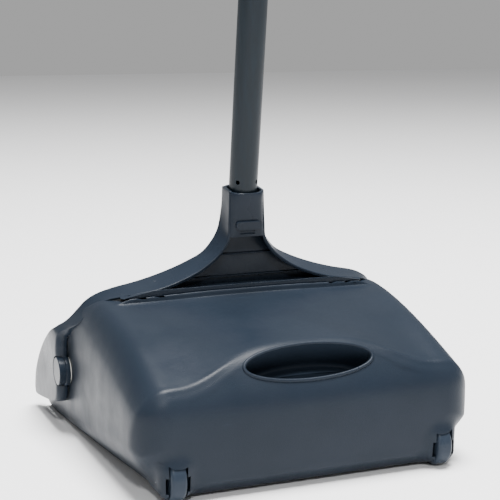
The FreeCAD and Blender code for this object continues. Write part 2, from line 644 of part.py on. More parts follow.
def make_end_cap():
    """Cap on the tube's end, narrowing to a flat round-topped tongue with a hanging eye."""
    low = HANDLE_TOP - CAP_LENGTH
    collar = low + CAP_SOCKET + 3
    waist = collar + 7
    half = CAP_TONGUE / 2
    side = [(-CAP_RADIUS, low, 0), (-CAP_RADIUS, collar, 4), (-half, waist, 4),
            (-half, HANDLE_TOP, 0), (half, HANDLE_TOP, 0), (half, waist, 4),
            (CAP_RADIUS, collar, 4), (CAP_RADIUS, low, 0)]
    front = [(-CAP_RADIUS, low, 0), (CAP_RADIUS, low, 0),
             (CAP_RADIUS, HANDLE_TOP, CAP_RADIUS - 0.5), (-CAP_RADIUS, HANDLE_TOP, CAP_RADIUS - 0.5)]
    cap = Part.makeCylinder(CAP_RADIUS, CAP_LENGTH, V(0, 0, low))
    cap = cap.common(prism(outline(side, at_yz), V(FAR, 0, 0)).translated(V(-FAR / 2, 0, 0)))
    cap = cap.common(prism(outline(front, at_xz), V(0, FAR, 0)).translated(V(0, -FAR / 2, 0)))
    eye = Part.makeCylinder(EYE_RADIUS, FAR, V(0, -FAR / 2, HANDLE_TOP - EYE_DROP), V(0, 1, 0))
    tube_end = Part.makeCylinder(TUBE_RADIUS, CAP_SOCKET, V(0, 0, low))
    return lean(one_solid(cap.cut(eye).cut(tube_end)))


# ---------------------------------------------------------------- broom clip and badge
def clip_body():
    """Collar round the tube with an open C in front of it that holds a broom's handle."""
    collar = Part.makeCylinder(TUBE_RADIUS + CLIP_WALL, CLIP_HEIGHT, V(0, 0, CLIP_RISE))
    jaw = Part.makeCylinder(CLIP_BORE_RADIUS + CLIP_WALL, CLIP_HEIGHT,
                            V(0, CLIP_REACH, CLIP_RISE))
    neck = slab_between(V(-5, 0, CLIP_RISE), V(5, CLIP_REACH, CLIP_RISE + CLIP_HEIGHT))
    half = math.radians(CLIP_MOUTH_DEG / 2)
    edge = 2 * CLIP_REACH
    wedge = outline([(0, CLIP_REACH, 0), (-edge * math.sin(half),
                     CLIP_REACH + edge * math.cos(half), 0),
                     (edge * math.sin(half), CLIP_REACH + edge * math.cos(half), 0)], at_xy)
    mouth = prism(wedge, V(0, 0, FAR))
    body = collar.fuse(jaw).fuse(neck).cut(mouth)
    body = body.cut(Part.makeCylinder(CLIP_BORE_RADIUS, FAR, V(0, CLIP_REACH, 0)))
    return body.cut(Part.makeCylinder(TUBE_RADIUS, FAR))


def make_clip():
    middle = CLIP_RISE + CLIP_HEIGHT / 2
    hole = Part.makeCylinder(RIVET_RADIUS, FAR, V(0, 0, middle), V(0, -1, 0))
    return lean(one_solid(clip_body().cut(hole)))


def make_clip_rivet():
    """Blind rivet through the back of the clip's collar into the tube."""
    middle = CLIP_RISE + CLIP_HEIGHT / 2
    outside = TUBE_RADIUS + CLIP_WALL
    ball = V(0, RIVET_HEAD_SPHERE - RIVET_HEAD_RISE - outside, middle)
    head = Part.makeSphere(RIVET_HEAD_SPHERE, ball)
    head = head.common(slab_between(V(-9, -outside - 9, 0), V(9, -outside, FAR)))
    shank = Part.makeCylinder(RIVET_RADIUS, CLIP_WALL + TUBE_WALL + RIVET_HEAD_RISE,
                              V(0, -outside, middle), V(0, 1, 0))
    tail = Part.makeCylinder(RIVET_RADIUS + 1.0, RIVET_HEAD_RISE,
                             V(0, TUBE_WALL - TUBE_RADIUS, middle), V(0, 1, 0))
    inside = Part.makeCylinder(TUBE_RADIUS - TUBE_WALL, FAR)
    return lean(one_solid(head.fuse(shank).fuse(tail.common(inside))))


def make_badge():
    """Plain oval-ended plate let into the back of the socket."""
    corners = [(-BADGE_HALF_WIDTH, -BADGE_HEIGHT / 2, 2.5), (BADGE_HALF_WIDTH, -BADGE_HEIGHT / 2, 2.5),
               (BADGE_HALF_WIDTH, BADGE_HEIGHT / 2, 2.5), (-BADGE_HALF_WIDTH, BADGE_HEIGHT / 2, 2.5)]
    plate = prism(outline(corners, at_xz), V(0, 2 * BADGE_THICKNESS, 0))
    plate.translate(V(0, -badge_face() - BADGE_THICKNESS, BADGE_RISE))
    return lean(plate)


def badge_face():
    """Distance of the socket's rear face from the handle's axis at the badge."""
    share = (BADGE_RISE - SOCKET_MIDDLE) / (SOCKET_TOP - SOCKET_MIDDLE)
    return SOCKET_HALF_WIDTH + 0.8 * (1 - share)


# Each piece that stands on both sides is built on the right and mirrored to the left.
PAIRED = {
    "wheel": make_wheel,
    "wheel_axle": make_axle,
    "pivot_pin": make_pivot_pin,
    "pivot_washer": make_pivot_washer,
    "pivot_retainer": make_retainer,
}
SINGLE = {
    "pan_shell": make_pan,
    "yoke": make_yoke,
    "handle_tube": make_tube,
    "tube_plug": make_tube_plug,
    "lock_button": make_button,
    "button_spring": make_button_spring,
    "hand_grip": make_grip,
    "end_cap": make_end_cap,
    "broom_clip": make_clip,
    "clip_rivet": make_clip_rivet,
    "blank_badge": make_badge,
}


def export(name, shape):
    placed = shape.copy()
    placed.translate(V(0, -ORIGIN_Y, 0))
    placed.exportStep(os.path.join("parts", name + ".step"))
    box = placed.optimalBoundingBox(False)
    print(name, shape.isValid(), len(shape.Solids), round(shape.Volume),
          [round(v, 1) for v in (box.XMin, box.XMax, box.YMin, box.YMax, box.ZMin, box.ZMax)])


def main():
    os.makedirs("parts", exist_ok=True)
    for name, make in SINGLE.items():
        export(name, make())
    for name, make in PAIRED.items():
        right = make()
        export(name + "_right", right)
        export(name + "_left", mirrored(right))


main()
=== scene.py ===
"""Looks of a hooded upright dustpan on two rear wheels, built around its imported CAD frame.

The moulded pan, its grip cup, wheel wells and bosses are surfaces worked out with numpy. The
pan's skin is found on a bent grid of rays: each ray starts inside the plastic and is followed
outwards until a distance formula for the moulding reads zero.
"""
import logging
import math
from dataclasses import dataclass, field
from enum import Enum

import bmesh
import bpy
import numpy as np
from mathutils import Euler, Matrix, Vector


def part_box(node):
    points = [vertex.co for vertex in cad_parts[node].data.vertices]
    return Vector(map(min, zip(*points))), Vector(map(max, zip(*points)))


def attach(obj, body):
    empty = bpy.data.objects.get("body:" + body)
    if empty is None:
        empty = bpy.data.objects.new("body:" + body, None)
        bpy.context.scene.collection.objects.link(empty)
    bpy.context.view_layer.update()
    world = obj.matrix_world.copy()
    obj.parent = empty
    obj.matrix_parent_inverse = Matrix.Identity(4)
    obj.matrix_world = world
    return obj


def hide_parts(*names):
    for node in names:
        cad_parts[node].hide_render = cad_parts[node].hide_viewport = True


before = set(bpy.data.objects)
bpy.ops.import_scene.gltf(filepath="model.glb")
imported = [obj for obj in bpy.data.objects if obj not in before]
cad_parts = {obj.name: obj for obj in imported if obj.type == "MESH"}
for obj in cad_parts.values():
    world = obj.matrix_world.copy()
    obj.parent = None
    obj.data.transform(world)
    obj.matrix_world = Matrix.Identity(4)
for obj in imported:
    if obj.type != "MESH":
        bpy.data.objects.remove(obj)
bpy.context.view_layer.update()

Array = np.ndarray
MM_PER_METRE = 1000.0
log = logging.getLogger("dustpan")


class Side(Enum):
    """The two sides of the pan, with the sign of X there."""

    LEFT = -1
    RIGHT = 1

    @property
    def label(self) -> str:
        """Lower-case name used in node and piece names."""
        return self.name.lower()


# ------------------------------------------------------------------ mesh helpers
def grid_quads(rows: int, columns: int, closed: bool, start: int = 0) -> Array:
    """Quads of a grid of points stored row after row.

    Args:
        rows: number of rows of points.
        columns: number of points in each row.
        closed: True where the last column joins the first.
        start: index of the grid's first point.

    Returns:
        Array of shape (faces, 4) with point indices.
    """
    across = columns if closed else columns - 1
    i, j = np.meshgrid(np.arange(rows - 1), np.arange(across), indexing="ij")
    after = (j + 1) % columns
    quads = np.stack([i * columns + j, i * columns + after,
                      (i + 1) * columns + after, (i + 1) * columns + j], axis=-1)
    return quads.reshape(-1, 4) + start


def smooth_step(value: Array) -> Array:
    """Cubic ease from 0 to 1 of value, clipped outside."""
    t = np.clip(value, 0.0, 1.0)
    return t * t * (3.0 - 2.0 * t)


def round_corner(a: Array, b: Array, radius: Array | float) -> Array:
    """Distance to the overlap of two half-spaces whose edge is an arc.

    Within the radius of both faces it is the hypotenuse of the two depths, less the radius.
    """
    u = np.maximum(a + radius, 0.0)
    v = np.maximum(b + radius, 0.0)
    return np.minimum(np.maximum(a, b), -radius) + np.hypot(u, v)


def ease_edge(a: Array, b: Array, width: Array) -> Array:
    """Larger of two distances, with a parabola in place of the edge where they differ little."""
    gap = np.maximum(width - np.abs(a - b), 0.0)
    return np.maximum(a, b) + gap * gap / (4.0 * width)


def blend_bulge(a: Array, b: Array, width: float) -> Array:
    """Smaller of two distances, with the valley between them filled by a parabola."""
    gap = np.maximum(width - np.abs(a - b), 0.0)
    return np.minimum(a, b) - gap * gap / (4.0 * width)


class MeshBench:
    """Collects grids of points into one mesh and turns it into a finished object."""

    def __init__(self, name: str) -> None:
        """Start an empty piece of that name."""
        self.name = name
        self.points: list[Array] = []
        self.quads: list[Array] = []
        self.count = 0

    def add(self, points: Array, quads: Array) -> None:
        """Add points of shape (n, 3) and quads that count from the first of them."""
        self.points.append(points)
        self.quads.append(quads + self.count)
        self.count += len(points)

    def add_grid(self, grid: Array, closed: bool = False) -> None:
        """Add a grid of points of shape (rows, columns, 3)."""
        rows, columns = grid.shape[:2]
        self.add(grid.reshape(-1, 3), grid_quads(rows, columns, closed))

    def finish(self, sharp_deg: float = 35.0, merge: float = 1e-6) -> bpy.types.Object:
        """Merge the seams, turn faces outwards and return the object.

        Args:
            sharp_deg: edges that turn more than this are shaded sharp.
            merge: points nearer than this become one, in metres.

        Returns:
            The new object, linked to the scene.
        """
        points = np.concatenate(self.points)
        quads = np.concatenate(self.quads)
        mesh = bpy.data.meshes.new(self.name)
        mesh.vertices.add(len(points))
        mesh.vertices.foreach_set("co", points.astype(np.float32).ravel())
        mesh.loops.add(quads.size)
        mesh.loops.foreach_set("vertex_index", quads.astype(np.int32).ravel())
        mesh.polygons.add(len(quads))
        mesh.polygons.foreach_set("loop_start", np.arange(0, quads.size, 4, dtype=np.int32))
        mesh.update(calc_edges=True)
        mesh.validate()
        work = bmesh.new()
        work.from_mesh(mesh)
        bmesh.ops.remove_doubles(work, verts=work.verts, dist=merge)
        bmesh.ops.dissolve_degenerate(work, edges=work.edges, dist=merge / 10)
        bmesh.ops.recalc_face_normals(work, faces=work.faces)
        work.to_mesh(mesh)
        work.free()
        piece = bpy.data.objects.new(self.name, mesh)
        bpy.context.scene.collection.objects.link(piece)
        shade(piece, sharp_deg)
        return piece


def shade(piece: bpy.types.Object, sharp_deg: float) -> None:
    """Shade a piece smooth, with sharp edges where faces turn more than sharp_deg."""
    piece.data.polygons.foreach_set("use_smooth", np.ones(len(piece.data.polygons), dtype=bool))
    piece.data.set_sharp_from_angle(angle=math.radians(sharp_deg))


def dress(piece: bpy.types.Object, material: bpy.types.Material) -> None:
    """Give a piece one material."""
    piece.data.materials.clear()
    piece.data.materials.append(material)


def turned(profile: Array, centre: Array, steps: int, start: float = 0.0,
           sweep: float = 2 * math.pi) -> Array:
    """Surface of revolution about an axis along X.

    Each point is (x, r cos a, r sin a) from the centre, for profile (x, r) and angle a.

    Args:
        profile: array of shape (n, 2), distance along X and radius.
        centre: a point on the axis.
        steps: points round the axis.
        start: first angle, from +Y towards +Z, in radians.
        sweep: angle covered; a full turn closes the surface.

    Returns:
        Array of shape (steps, n, 3).
    """
    closed = sweep > 2 * math.pi - 1e-6
    angle = start + sweep * np.arange(steps) / (steps if closed else steps - 1)
    x = np.broadcast_to(profile[:, 0], (steps, len(profile)))
    y = np.outer(np.cos(angle), profile[:, 1])
    z = np.outer(np.sin(angle), profile[:, 1])
    return np.stack([x, y, z], axis=-1) + centre


def closed_rings(grid: Array) -> Array:
    """Repeat a grid's first row after its last."""
    return np.concatenate([grid, grid[:1]])


def rounded_profile(corners: list[tuple[float, float, float]], steps: int = 6) -> Array:
    """Polyline through corners (u, v, radius) with each corner replaced by an arc.

    The arc is drawn as a quadratic curve between its two tangent points, which at a square
    corner differs from a circle by about 6 % of the radius.
    """
    points = [np.array(corners[0][:2])]
    for before, here, after in zip(corners, corners[1:], corners[2:]):
        middle = np.array(here[:2])
        a = np.array(before[:2]) - middle
        b = np.array(after[:2]) - middle
        reach = min(here[2], 0.49 * np.hypot(*a), 0.49 * np.hypot(*b))
        a = middle + a / np.hypot(*a) * reach
        b = middle + b / np.hypot(*b) * reach
        t = np.linspace(0, 1, steps)[:, None]
        points.extend((1 - t) ** 2 * a + 2 * t * (1 - t) * middle + t ** 2 * b)
    points.append(np.array(corners[-1][:2]))
    return np.array(points)


# ------------------------------------------------------------------ finishes
class Bench:
    """A material and its node tree, with short calls to add and join nodes."""

    def __init__(self, name: str) -> None:
        """Make an empty node material with a Principled shader and its output."""
        self.material = bpy.data.materials.new(name)
        self.material.use_nodes = True
        self.tree = self.material.node_tree
        self.tree.nodes.clear()
        self.output = self.tree.nodes.new("ShaderNodeOutputMaterial")
        self.shader = self.tree.nodes.new("ShaderNodeBsdfPrincipled")
        self.join(self.shader.outputs[0], self.output.inputs["Surface"])
        self.place = self.tree.nodes.new("ShaderNodeTexCoord").outputs["Object"]

    def join(self, source: bpy.types.NodeSocket, target: bpy.types.NodeSocket) -> None:
        """Link one socket to another."""
        self.tree.links.new(source, target)

    def noise(self, scale: float, detail: float = 2.0, rough: float = 0.5,
              stretch: tuple[float, float, float] | None = None) -> bpy.types.NodeSocket:
        """Noise on Object coordinates, with features about 1 / scale metres across."""
        node = self.tree.nodes.new("ShaderNodeTexNoise")
        node.inputs["Scale"].default_value = scale
        node.inputs["Detail"].default_value = detail
        node.inputs["Roughness"].default_value = rough
        source = self.place
        if stretch is not None:
            mapping = self.tree.nodes.new("ShaderNodeMapping")
            mapping.inputs["Scale"].default_value = stretch
            self.join(source, mapping.inputs["Vector"])
            source = mapping.outputs[0]
        self.join(source, node.inputs["Vector"])
        return node.outputs["Fac"]

    def ramp(self, source: bpy.types.NodeSocket, low: float, high: float,
             from_low: float = 0.0, from_high: float = 1.0) -> bpy.types.NodeSocket:
        """Rescale a value from one range to another."""
        node = self.tree.nodes.new("ShaderNodeMapRange")
        node.inputs["From Min"].default_value = from_low
        node.inputs["From Max"].default_value = from_high
        node.inputs["To Min"].default_value = low
        node.inputs["To Max"].default_value = high
        self.join(source, node.inputs["Value"])
        return node.outputs["Result"]

    def mix(self, amount: bpy.types.NodeSocket, first: tuple[float, float, float],
            second: tuple[float, float, float]) -> bpy.types.NodeSocket:
        """Mix two colours by amount."""
        node = self.tree.nodes.new("ShaderNodeMix")
        node.data_type = "RGBA"
        node.inputs["A"].default_value = (*first, 1.0)
        node.inputs["B"].default_value = (*second, 1.0)
        self.join(amount, node.inputs["Factor"])
        return node.outputs["Result"]

    def lay(self, base: bpy.types.NodeSocket, amount: bpy.types.NodeSocket,
            over: tuple[float, float, float]) -> bpy.types.NodeSocket:
        """Lay a colour over another colour socket by amount."""
        node = self.tree.nodes.new("ShaderNodeMix")
        node.data_type = "RGBA"
        self.join(base, node.inputs["A"])
        node.inputs["B"].default_value = (*over, 1.0)
        self.join(amount, node.inputs["Factor"])
        return node.outputs["Result"]

    def bump(self, height: bpy.types.NodeSocket, depth: float,
             under: bpy.types.NodeSocket | None = None) -> bpy.types.NodeSocket:
        """Bump of the given depth in metres, over another normal if one is given."""
        node = self.tree.nodes.new("ShaderNodeBump")
        node.inputs["Distance"].default_value = depth
        self.join(height, node.inputs["Height"])
        if under is not None:
            self.join(under, node.inputs["Normal"])
        return node.outputs["Normal"]

    def gloss(self, socket: str, value: float) -> None:
        """Set a plain number on one of the shader's own sockets."""
        self.shader.inputs[socket].default_value = value


@dataclass(frozen=True)
class MouldedPlastic:
    """Polypropylene with a fine spark-eroded grain, faint flow marks and scuffs."""

    name: str
    shade: tuple[float, float, float]
    tint: tuple[float, float, float]
    roughness: float = 0.42
    grain_per_metre: float = 1500.0
    grain_depth: float = 0.00012
    scuffs: float = 0.35
    specular: float = 0.12

    def build(self) -> bpy.types.Material:
        """Make the material."""
        bench = Bench(self.name)
        cloud = bench.noise(14.0, 3.0)
        colour = bench.mix(bench.ramp(cloud, 0.0, 1.0, 0.35, 0.65), self.shade, self.tint)
        fleck = bench.noise(self.grain_per_metre, 1.0)
        colour = bench.lay(colour, bench.ramp(fleck, 0.0, 0.18, 0.5, 0.75),
                           tuple(1.7 * c for c in self.tint))
        scratch = bench.noise(60.0, 5.0, 0.62, (0.5, 3.0, 6.0))
        scuff = bench.ramp(scratch, 0.0, self.scuffs, 0.68, 0.78)
        colour = bench.lay(colour, scuff, tuple(2.2 * c for c in self.tint))
        bench.join(colour, bench.shader.inputs["Base Color"])
        smear = bench.noise(35.0, 4.0)
        bench.join(bench.ramp(smear, self.roughness - 0.05, self.roughness + 0.08, 0.3, 0.7),
                   bench.shader.inputs["Roughness"])
        grain = bench.bump(fleck, self.grain_depth)
        bench.join(bench.bump(bench.noise(70.0, 2.0), 0.0002, grain),
                   bench.shader.inputs["Normal"])
        bench.gloss("Specular IOR Level", self.specular)
        return bench.material


@dataclass(frozen=True)
class PowderCoat:
    """Dark powder coat on a drawn steel tube: fine orange peel and faint lengthwise rubs."""

    name: str
    shade: tuple[float, float, float]
    roughness: float = 0.33

    def build(self) -> bpy.types.Material:
        """Make the material."""
        bench = Bench(self.name)
        rub = bench.noise(90.0, 4.0, 0.6, (4.0, 4.0, 0.15))
        colour = bench.mix(bench.ramp(rub, 0.0, 1.0, 0.4, 0.75), self.shade,
                           tuple(1.5 * c for c in self.shade))
        bench.join(colour, bench.shader.inputs["Base Color"])
        bench.join(bench.ramp(rub, self.roughness, self.roughness + 0.1, 0.35, 0.7),
                   bench.shader.inputs["Roughness"])
        bench.join(bench.bump(bench.noise(900.0, 2.0), 0.00006), bench.shader.inputs["Normal"])
        bench.gloss("Specular IOR Level", 0.2)
        return bench.material


@dataclass(frozen=True)
class PlatedSteel:
    """Zinc-plated steel with fine drawing lines and slightly dulled patches."""

    name: str
    shade: tuple[float, float, float]
    roughness: float = 0.28

    def build(self) -> bpy.types.Material:
        """Make the material."""
        bench = Bench(self.name)
        dull = bench.noise(220.0, 3.0)
        colour = bench.mix(bench.ramp(dull, 0.0, 1.0, 0.35, 0.7), self.shade,
                           tuple(0.75 * c for c in self.shade))
        bench.join(colour, bench.shader.inputs["Base Color"])
        bench.join(bench.ramp(dull, self.roughness, self.roughness + 0.18, 0.3, 0.7),
                   bench.shader.inputs["Roughness"])
        lines = bench.noise(2500.0, 1.0, 0.5, (0.1, 1.0, 1.0))
        bench.join(bench.bump(lines, 0.00003), bench.shader.inputs["Normal"])
        bench.gloss("Metallic", 1.0)
        return bench.material


# ------------------------------------------------------------------ pan
@dataclass
class PanForm:
    """Shape of the pan's moulding as formulas in x, y from the wheels' line, and z.

    Every distance is negative inside the plastic's outer form.
    """

    mouth_half: float = 0.1475
    rear_half: float = 0.146
    taper: float = 0.165
    lip_y: float = 0.279
    ridge_y: float = 0.146
    wall: float = 0.0026
    hood_rear_z: float = 0.111
    hood_ridge_z: float = 0.1305
    hood_slope: float = 0.2
    bell_power: float = 1.7
    shoulder_rear_z: float = 0.0912
    shoulder_ridge_z: float = 0.1275
    shoulder_run: tuple[float, float] = (0.034, 0.028)
    shoulder_rise: float = 1.6
    edge_z: tuple[float, float, float] = (0.060, 0.200, 0.18)
    edge_radius: float = 0.0045
    floor_rear_z: float = 0.0026
    land: float = 0.014
    lip_thickness: float = 0.0009
    bilge: float = 0.034
    bilge_slope: float = 0.85
    bilge_radius: float = 0.006
    back_y: float = -0.0145
    corner_radius: float = 0.0285
    foot_y: float = -0.0105
    foot_z: float = 0.0135
    brow_z: float = 0.077
    brow_slope: float = 0.7
    crest_width: float = 0.0045
    bead_height: float = 0.0009
    bead_width: float = 0.0022
    rib_y: float = 0.1308
    rib_height: float = 0.0042
    rib_width: float = 0.0016
    rib_half: float = 0.114
    pod_x: float = 0.1144
    pod_half: tuple[float, float, float] = (0.0138, 0.0198, 0.0180)
    pod_centre: tuple[float, float] = (0.0034, 0.0205)
    pod_radius: float = 0.0115
    pod_blend: float = 0.007
    floor_gap: float = 0.0005
    wheel_z: float = 0.0188
    pivot: tuple[float, float] = (0.190, 0.058)
    mouth_edge: tuple[tuple[float, float], ...] = (
        (0.008, 0.279), (0.040, 0.266), (0.070, 0.235), (0.103, 0.190), (0.1265, 0.152))

    def half_width(self, y: Array) -> Array:
        """Outside of the side wall: widens as a parabola from the wheels to the mouth."""
        t = np.clip(y / self.taper, -0.2, 1.0)
        return self.mouth_half - (self.mouth_half - self.rear_half) * (1 - t) ** 2

    def hood(self, x: Array, y: Array, z: Array) -> Array:
        """Distance to the hood: a cosine bell across, then a cubic down to the side's edge.

        The crown, the shoulders where the bell ends and the edge all rise with y: the crown
        evenly, the shoulders as 1 - (1 - t)^p, the edge as a parabola. The height difference is
        divided by the length of the hood's normal, from its slopes along and across.
        """
        crown = self.hood_rear_z + (self.hood_ridge_z - self.hood_rear_z) * y / self.ridge_y
        climb = np.clip(y / self.ridge_y, -0.2, 1.0)
        rise = 1 - (1 - climb) ** self.shoulder_rise
        shoulder = self.shoulder_rear_z + (self.shoulder_ridge_z - self.shoulder_rear_z) * rise
        edge = self.edge_z[0] + self.edge_z[1] * y + self.edge_z[2] * y * y
        run = self.shoulder_run[0] + (self.shoulder_run[1] - self.shoulder_run[0]) * climb
        inner = self.half_width(y) - run
        share = np.clip(np.abs(x) / inner, 0, 1)
        fall = ((1 - np.cos(np.pi * share)) / 2) ** self.bell_power
        past = np.maximum(np.abs(x) - inner, 0) / run
        height = crown - (crown - shoulder) * fall - (shoulder - edge) * past ** 3
        slope = 3 * (shoulder - edge) * past ** 2 / run
        return (z - height) / np.sqrt(1 + self.hood_slope ** 2 + slope ** 2)

    def side(self, x: Array, y: Array, z: Array, inset: float) -> Array:
        """Distance to the side wall and the bevel below its knee."""
        width = np.abs(x) - self.half_width(y)
        knee = self.floor_height(y) + np.maximum(self.bilge * (1 - y / self.lip_y), 0.002)
        bevel = (width - self.bilge_slope * (z - knee)) / math.hypot(1, self.bilge_slope)
        side = round_corner(width + inset, bevel + inset, self.bilge_radius)
        return np.where(z > knee + 0.02, width + inset, side)

    def floor_height(self, y: Array) -> Array:
        """Underside of the floor: a slope down to the land under the lip."""
        return np.maximum(self.floor_rear_z * (1 - y / (self.lip_y - self.land)), 0.0)

    def back_depth(self, z: Array) -> Array:
        """Y of the back face on the centre line: a slight belly, then the brow leaning forward."""
        belly = self.back_y + 0.004 * (np.minimum(z - 0.055, 0) / 0.042) ** 2
        soft = 0.005
        over = np.clip((z - self.brow_z) / soft, -30, 30)
        return belly + self.brow_slope * soft * np.log1p(np.exp(over))

    def mouth_depth(self, z: Array) -> Array:
        """Y of the mouth's edge at height z, smooth through its few given points."""
        knots_z = np.array([0.0] + [k[0] for k in self.mouth_edge] + [self.hood_ridge_z])
        knots_y = np.array([self.lip_y] + [k[1] for k in self.mouth_edge] + [self.ridge_y])
        slope = np.gradient(knots_y, knots_z)
        slope[0] = 0.0
        i = np.clip(np.searchsorted(knots_z, z) - 1, 0, len(knots_z) - 2)
        gap = knots_z[i + 1] - knots_z[i]
        t = np.clip((z - knots_z[i]) / gap, 0, 1)
        low = (1 + 2 * t) * (1 - t) ** 2 * knots_y[i] + t * (1 - t) ** 2 * gap * slope[i]
        high = t * t * (3 - 2 * t) * knots_y[i + 1] - t * t * (1 - t) * gap * slope[i + 1]
        return low + high

    def pods(self, x: Array, y: Array, z: Array) -> Array:
        """Distance to the rounded blocks that house the wheels."""
        qx = np.abs(np.abs(x) - self.pod_x) - (self.pod_half[0] - self.pod_radius)
        qy = np.abs(y - self.pod_centre[0]) - (self.pod_half[1] - self.pod_radius)
        qz = np.abs(z - self.pod_centre[1]) - (self.pod_half[2] - self.pod_radius)
        q = np.stack([qx, qy, qz])
        outside = np.sqrt((np.maximum(q, 0) ** 2).sum(axis=0))
        return outside + np.minimum(q.max(axis=0), 0) - self.pod_radius

    def distance(self, p: Array, inset: float = 0.0) -> Array:
        """Distance of points to the outer form, or to the form moved in by inset.

        The hood, side and bevel make the section; the back and the same sides make the plan;
        their meeting is the crest, which carries a low rolled bead that fades at the corners.

        Args:
            p: points of shape (..., 3).
            inset: how far the form is moved inwards; details are left off if it isn't zero.

        Returns:
            Array of distances, negative inside.
        """
        x, y, z = p[..., 0], p[..., 1], p[..., 2]
        bottom = self.floor_height(y)
        side = self.side(x, y, z, inset)
        slope = self.brow_slope * smooth_step((z - self.brow_z + 0.01) / 0.02)
        back = (self.back_depth(z) - y) / np.sqrt(1 + slope ** 2) + inset
        section = round_corner(self.hood(x, y, z) + inset, side, self.edge_radius - inset / 2)
        plan = round_corner(back, side, self.corner_radius - inset)
        near = np.clip(-side / 0.012, 0, 1)
        form = ease_edge(section, plan, 0.0012 + self.crest_width * near)
        floor_wall = inset
        if inset > 0:
            ramp = np.clip((self.lip_y - y) / (2 * self.land), 0, 1)
            floor_wall = self.lip_thickness + (inset - self.lip_thickness) * ramp
        under = bottom + floor_wall - z
        chamfer = -(y - self.foot_y) * 0.74 - (z - self.foot_z) * 0.67 + inset
        form = round_corner(form, round_corner(under, chamfer, 0.0012), 0.0012)
        if inset > 0:
            return form
        bead = np.exp(-((section - plan - 0.0008) / self.bead_width) ** 2)
        centre = smooth_step((np.abs(x) - 0.050) / 0.030)
        form = form - self.bead_height * near * centre * bead * (z > 0.05)
        fade = smooth_step((self.rib_half - np.abs(x)) / 0.018 + 0.5)
        rib = np.exp(-((y - self.rib_y) / self.rib_width) ** 4)
        form = form - self.rib_height * fade * rib * (z > 0.09)
        form = blend_bulge(form, self.pods(x, y, z), self.pod_blend)
        return np.maximum(form, self.floor_gap - z)


@dataclass
class GripOval:
    """The oval finger grip in the brow: its place, size and the axis of its pocket."""

    half_length: float = 0.0550
    half_height: float = 0.0138
    centre: tuple[float, float, float] = (0.0, 0.0010, 0.0985)
    axis_deg: float = 35.0
    depth: float = 0.0240
    fold: float = 0.0085
    rim: float = 0.0015

    @property
    def axis(self) -> Array:
        """Direction out of the pocket."""
        a = math.radians(self.axis_deg)
        return np.array([0.0, -math.sin(a), math.cos(a)])

    def seen_half_height(self, form: PanForm) -> float:
        """Half of the opening's height in z where the pocket meets the sloped brow."""
        a = math.radians(self.axis_deg)
        return self.half_height / (math.cos(a) * form.brow_slope + math.sin(a))


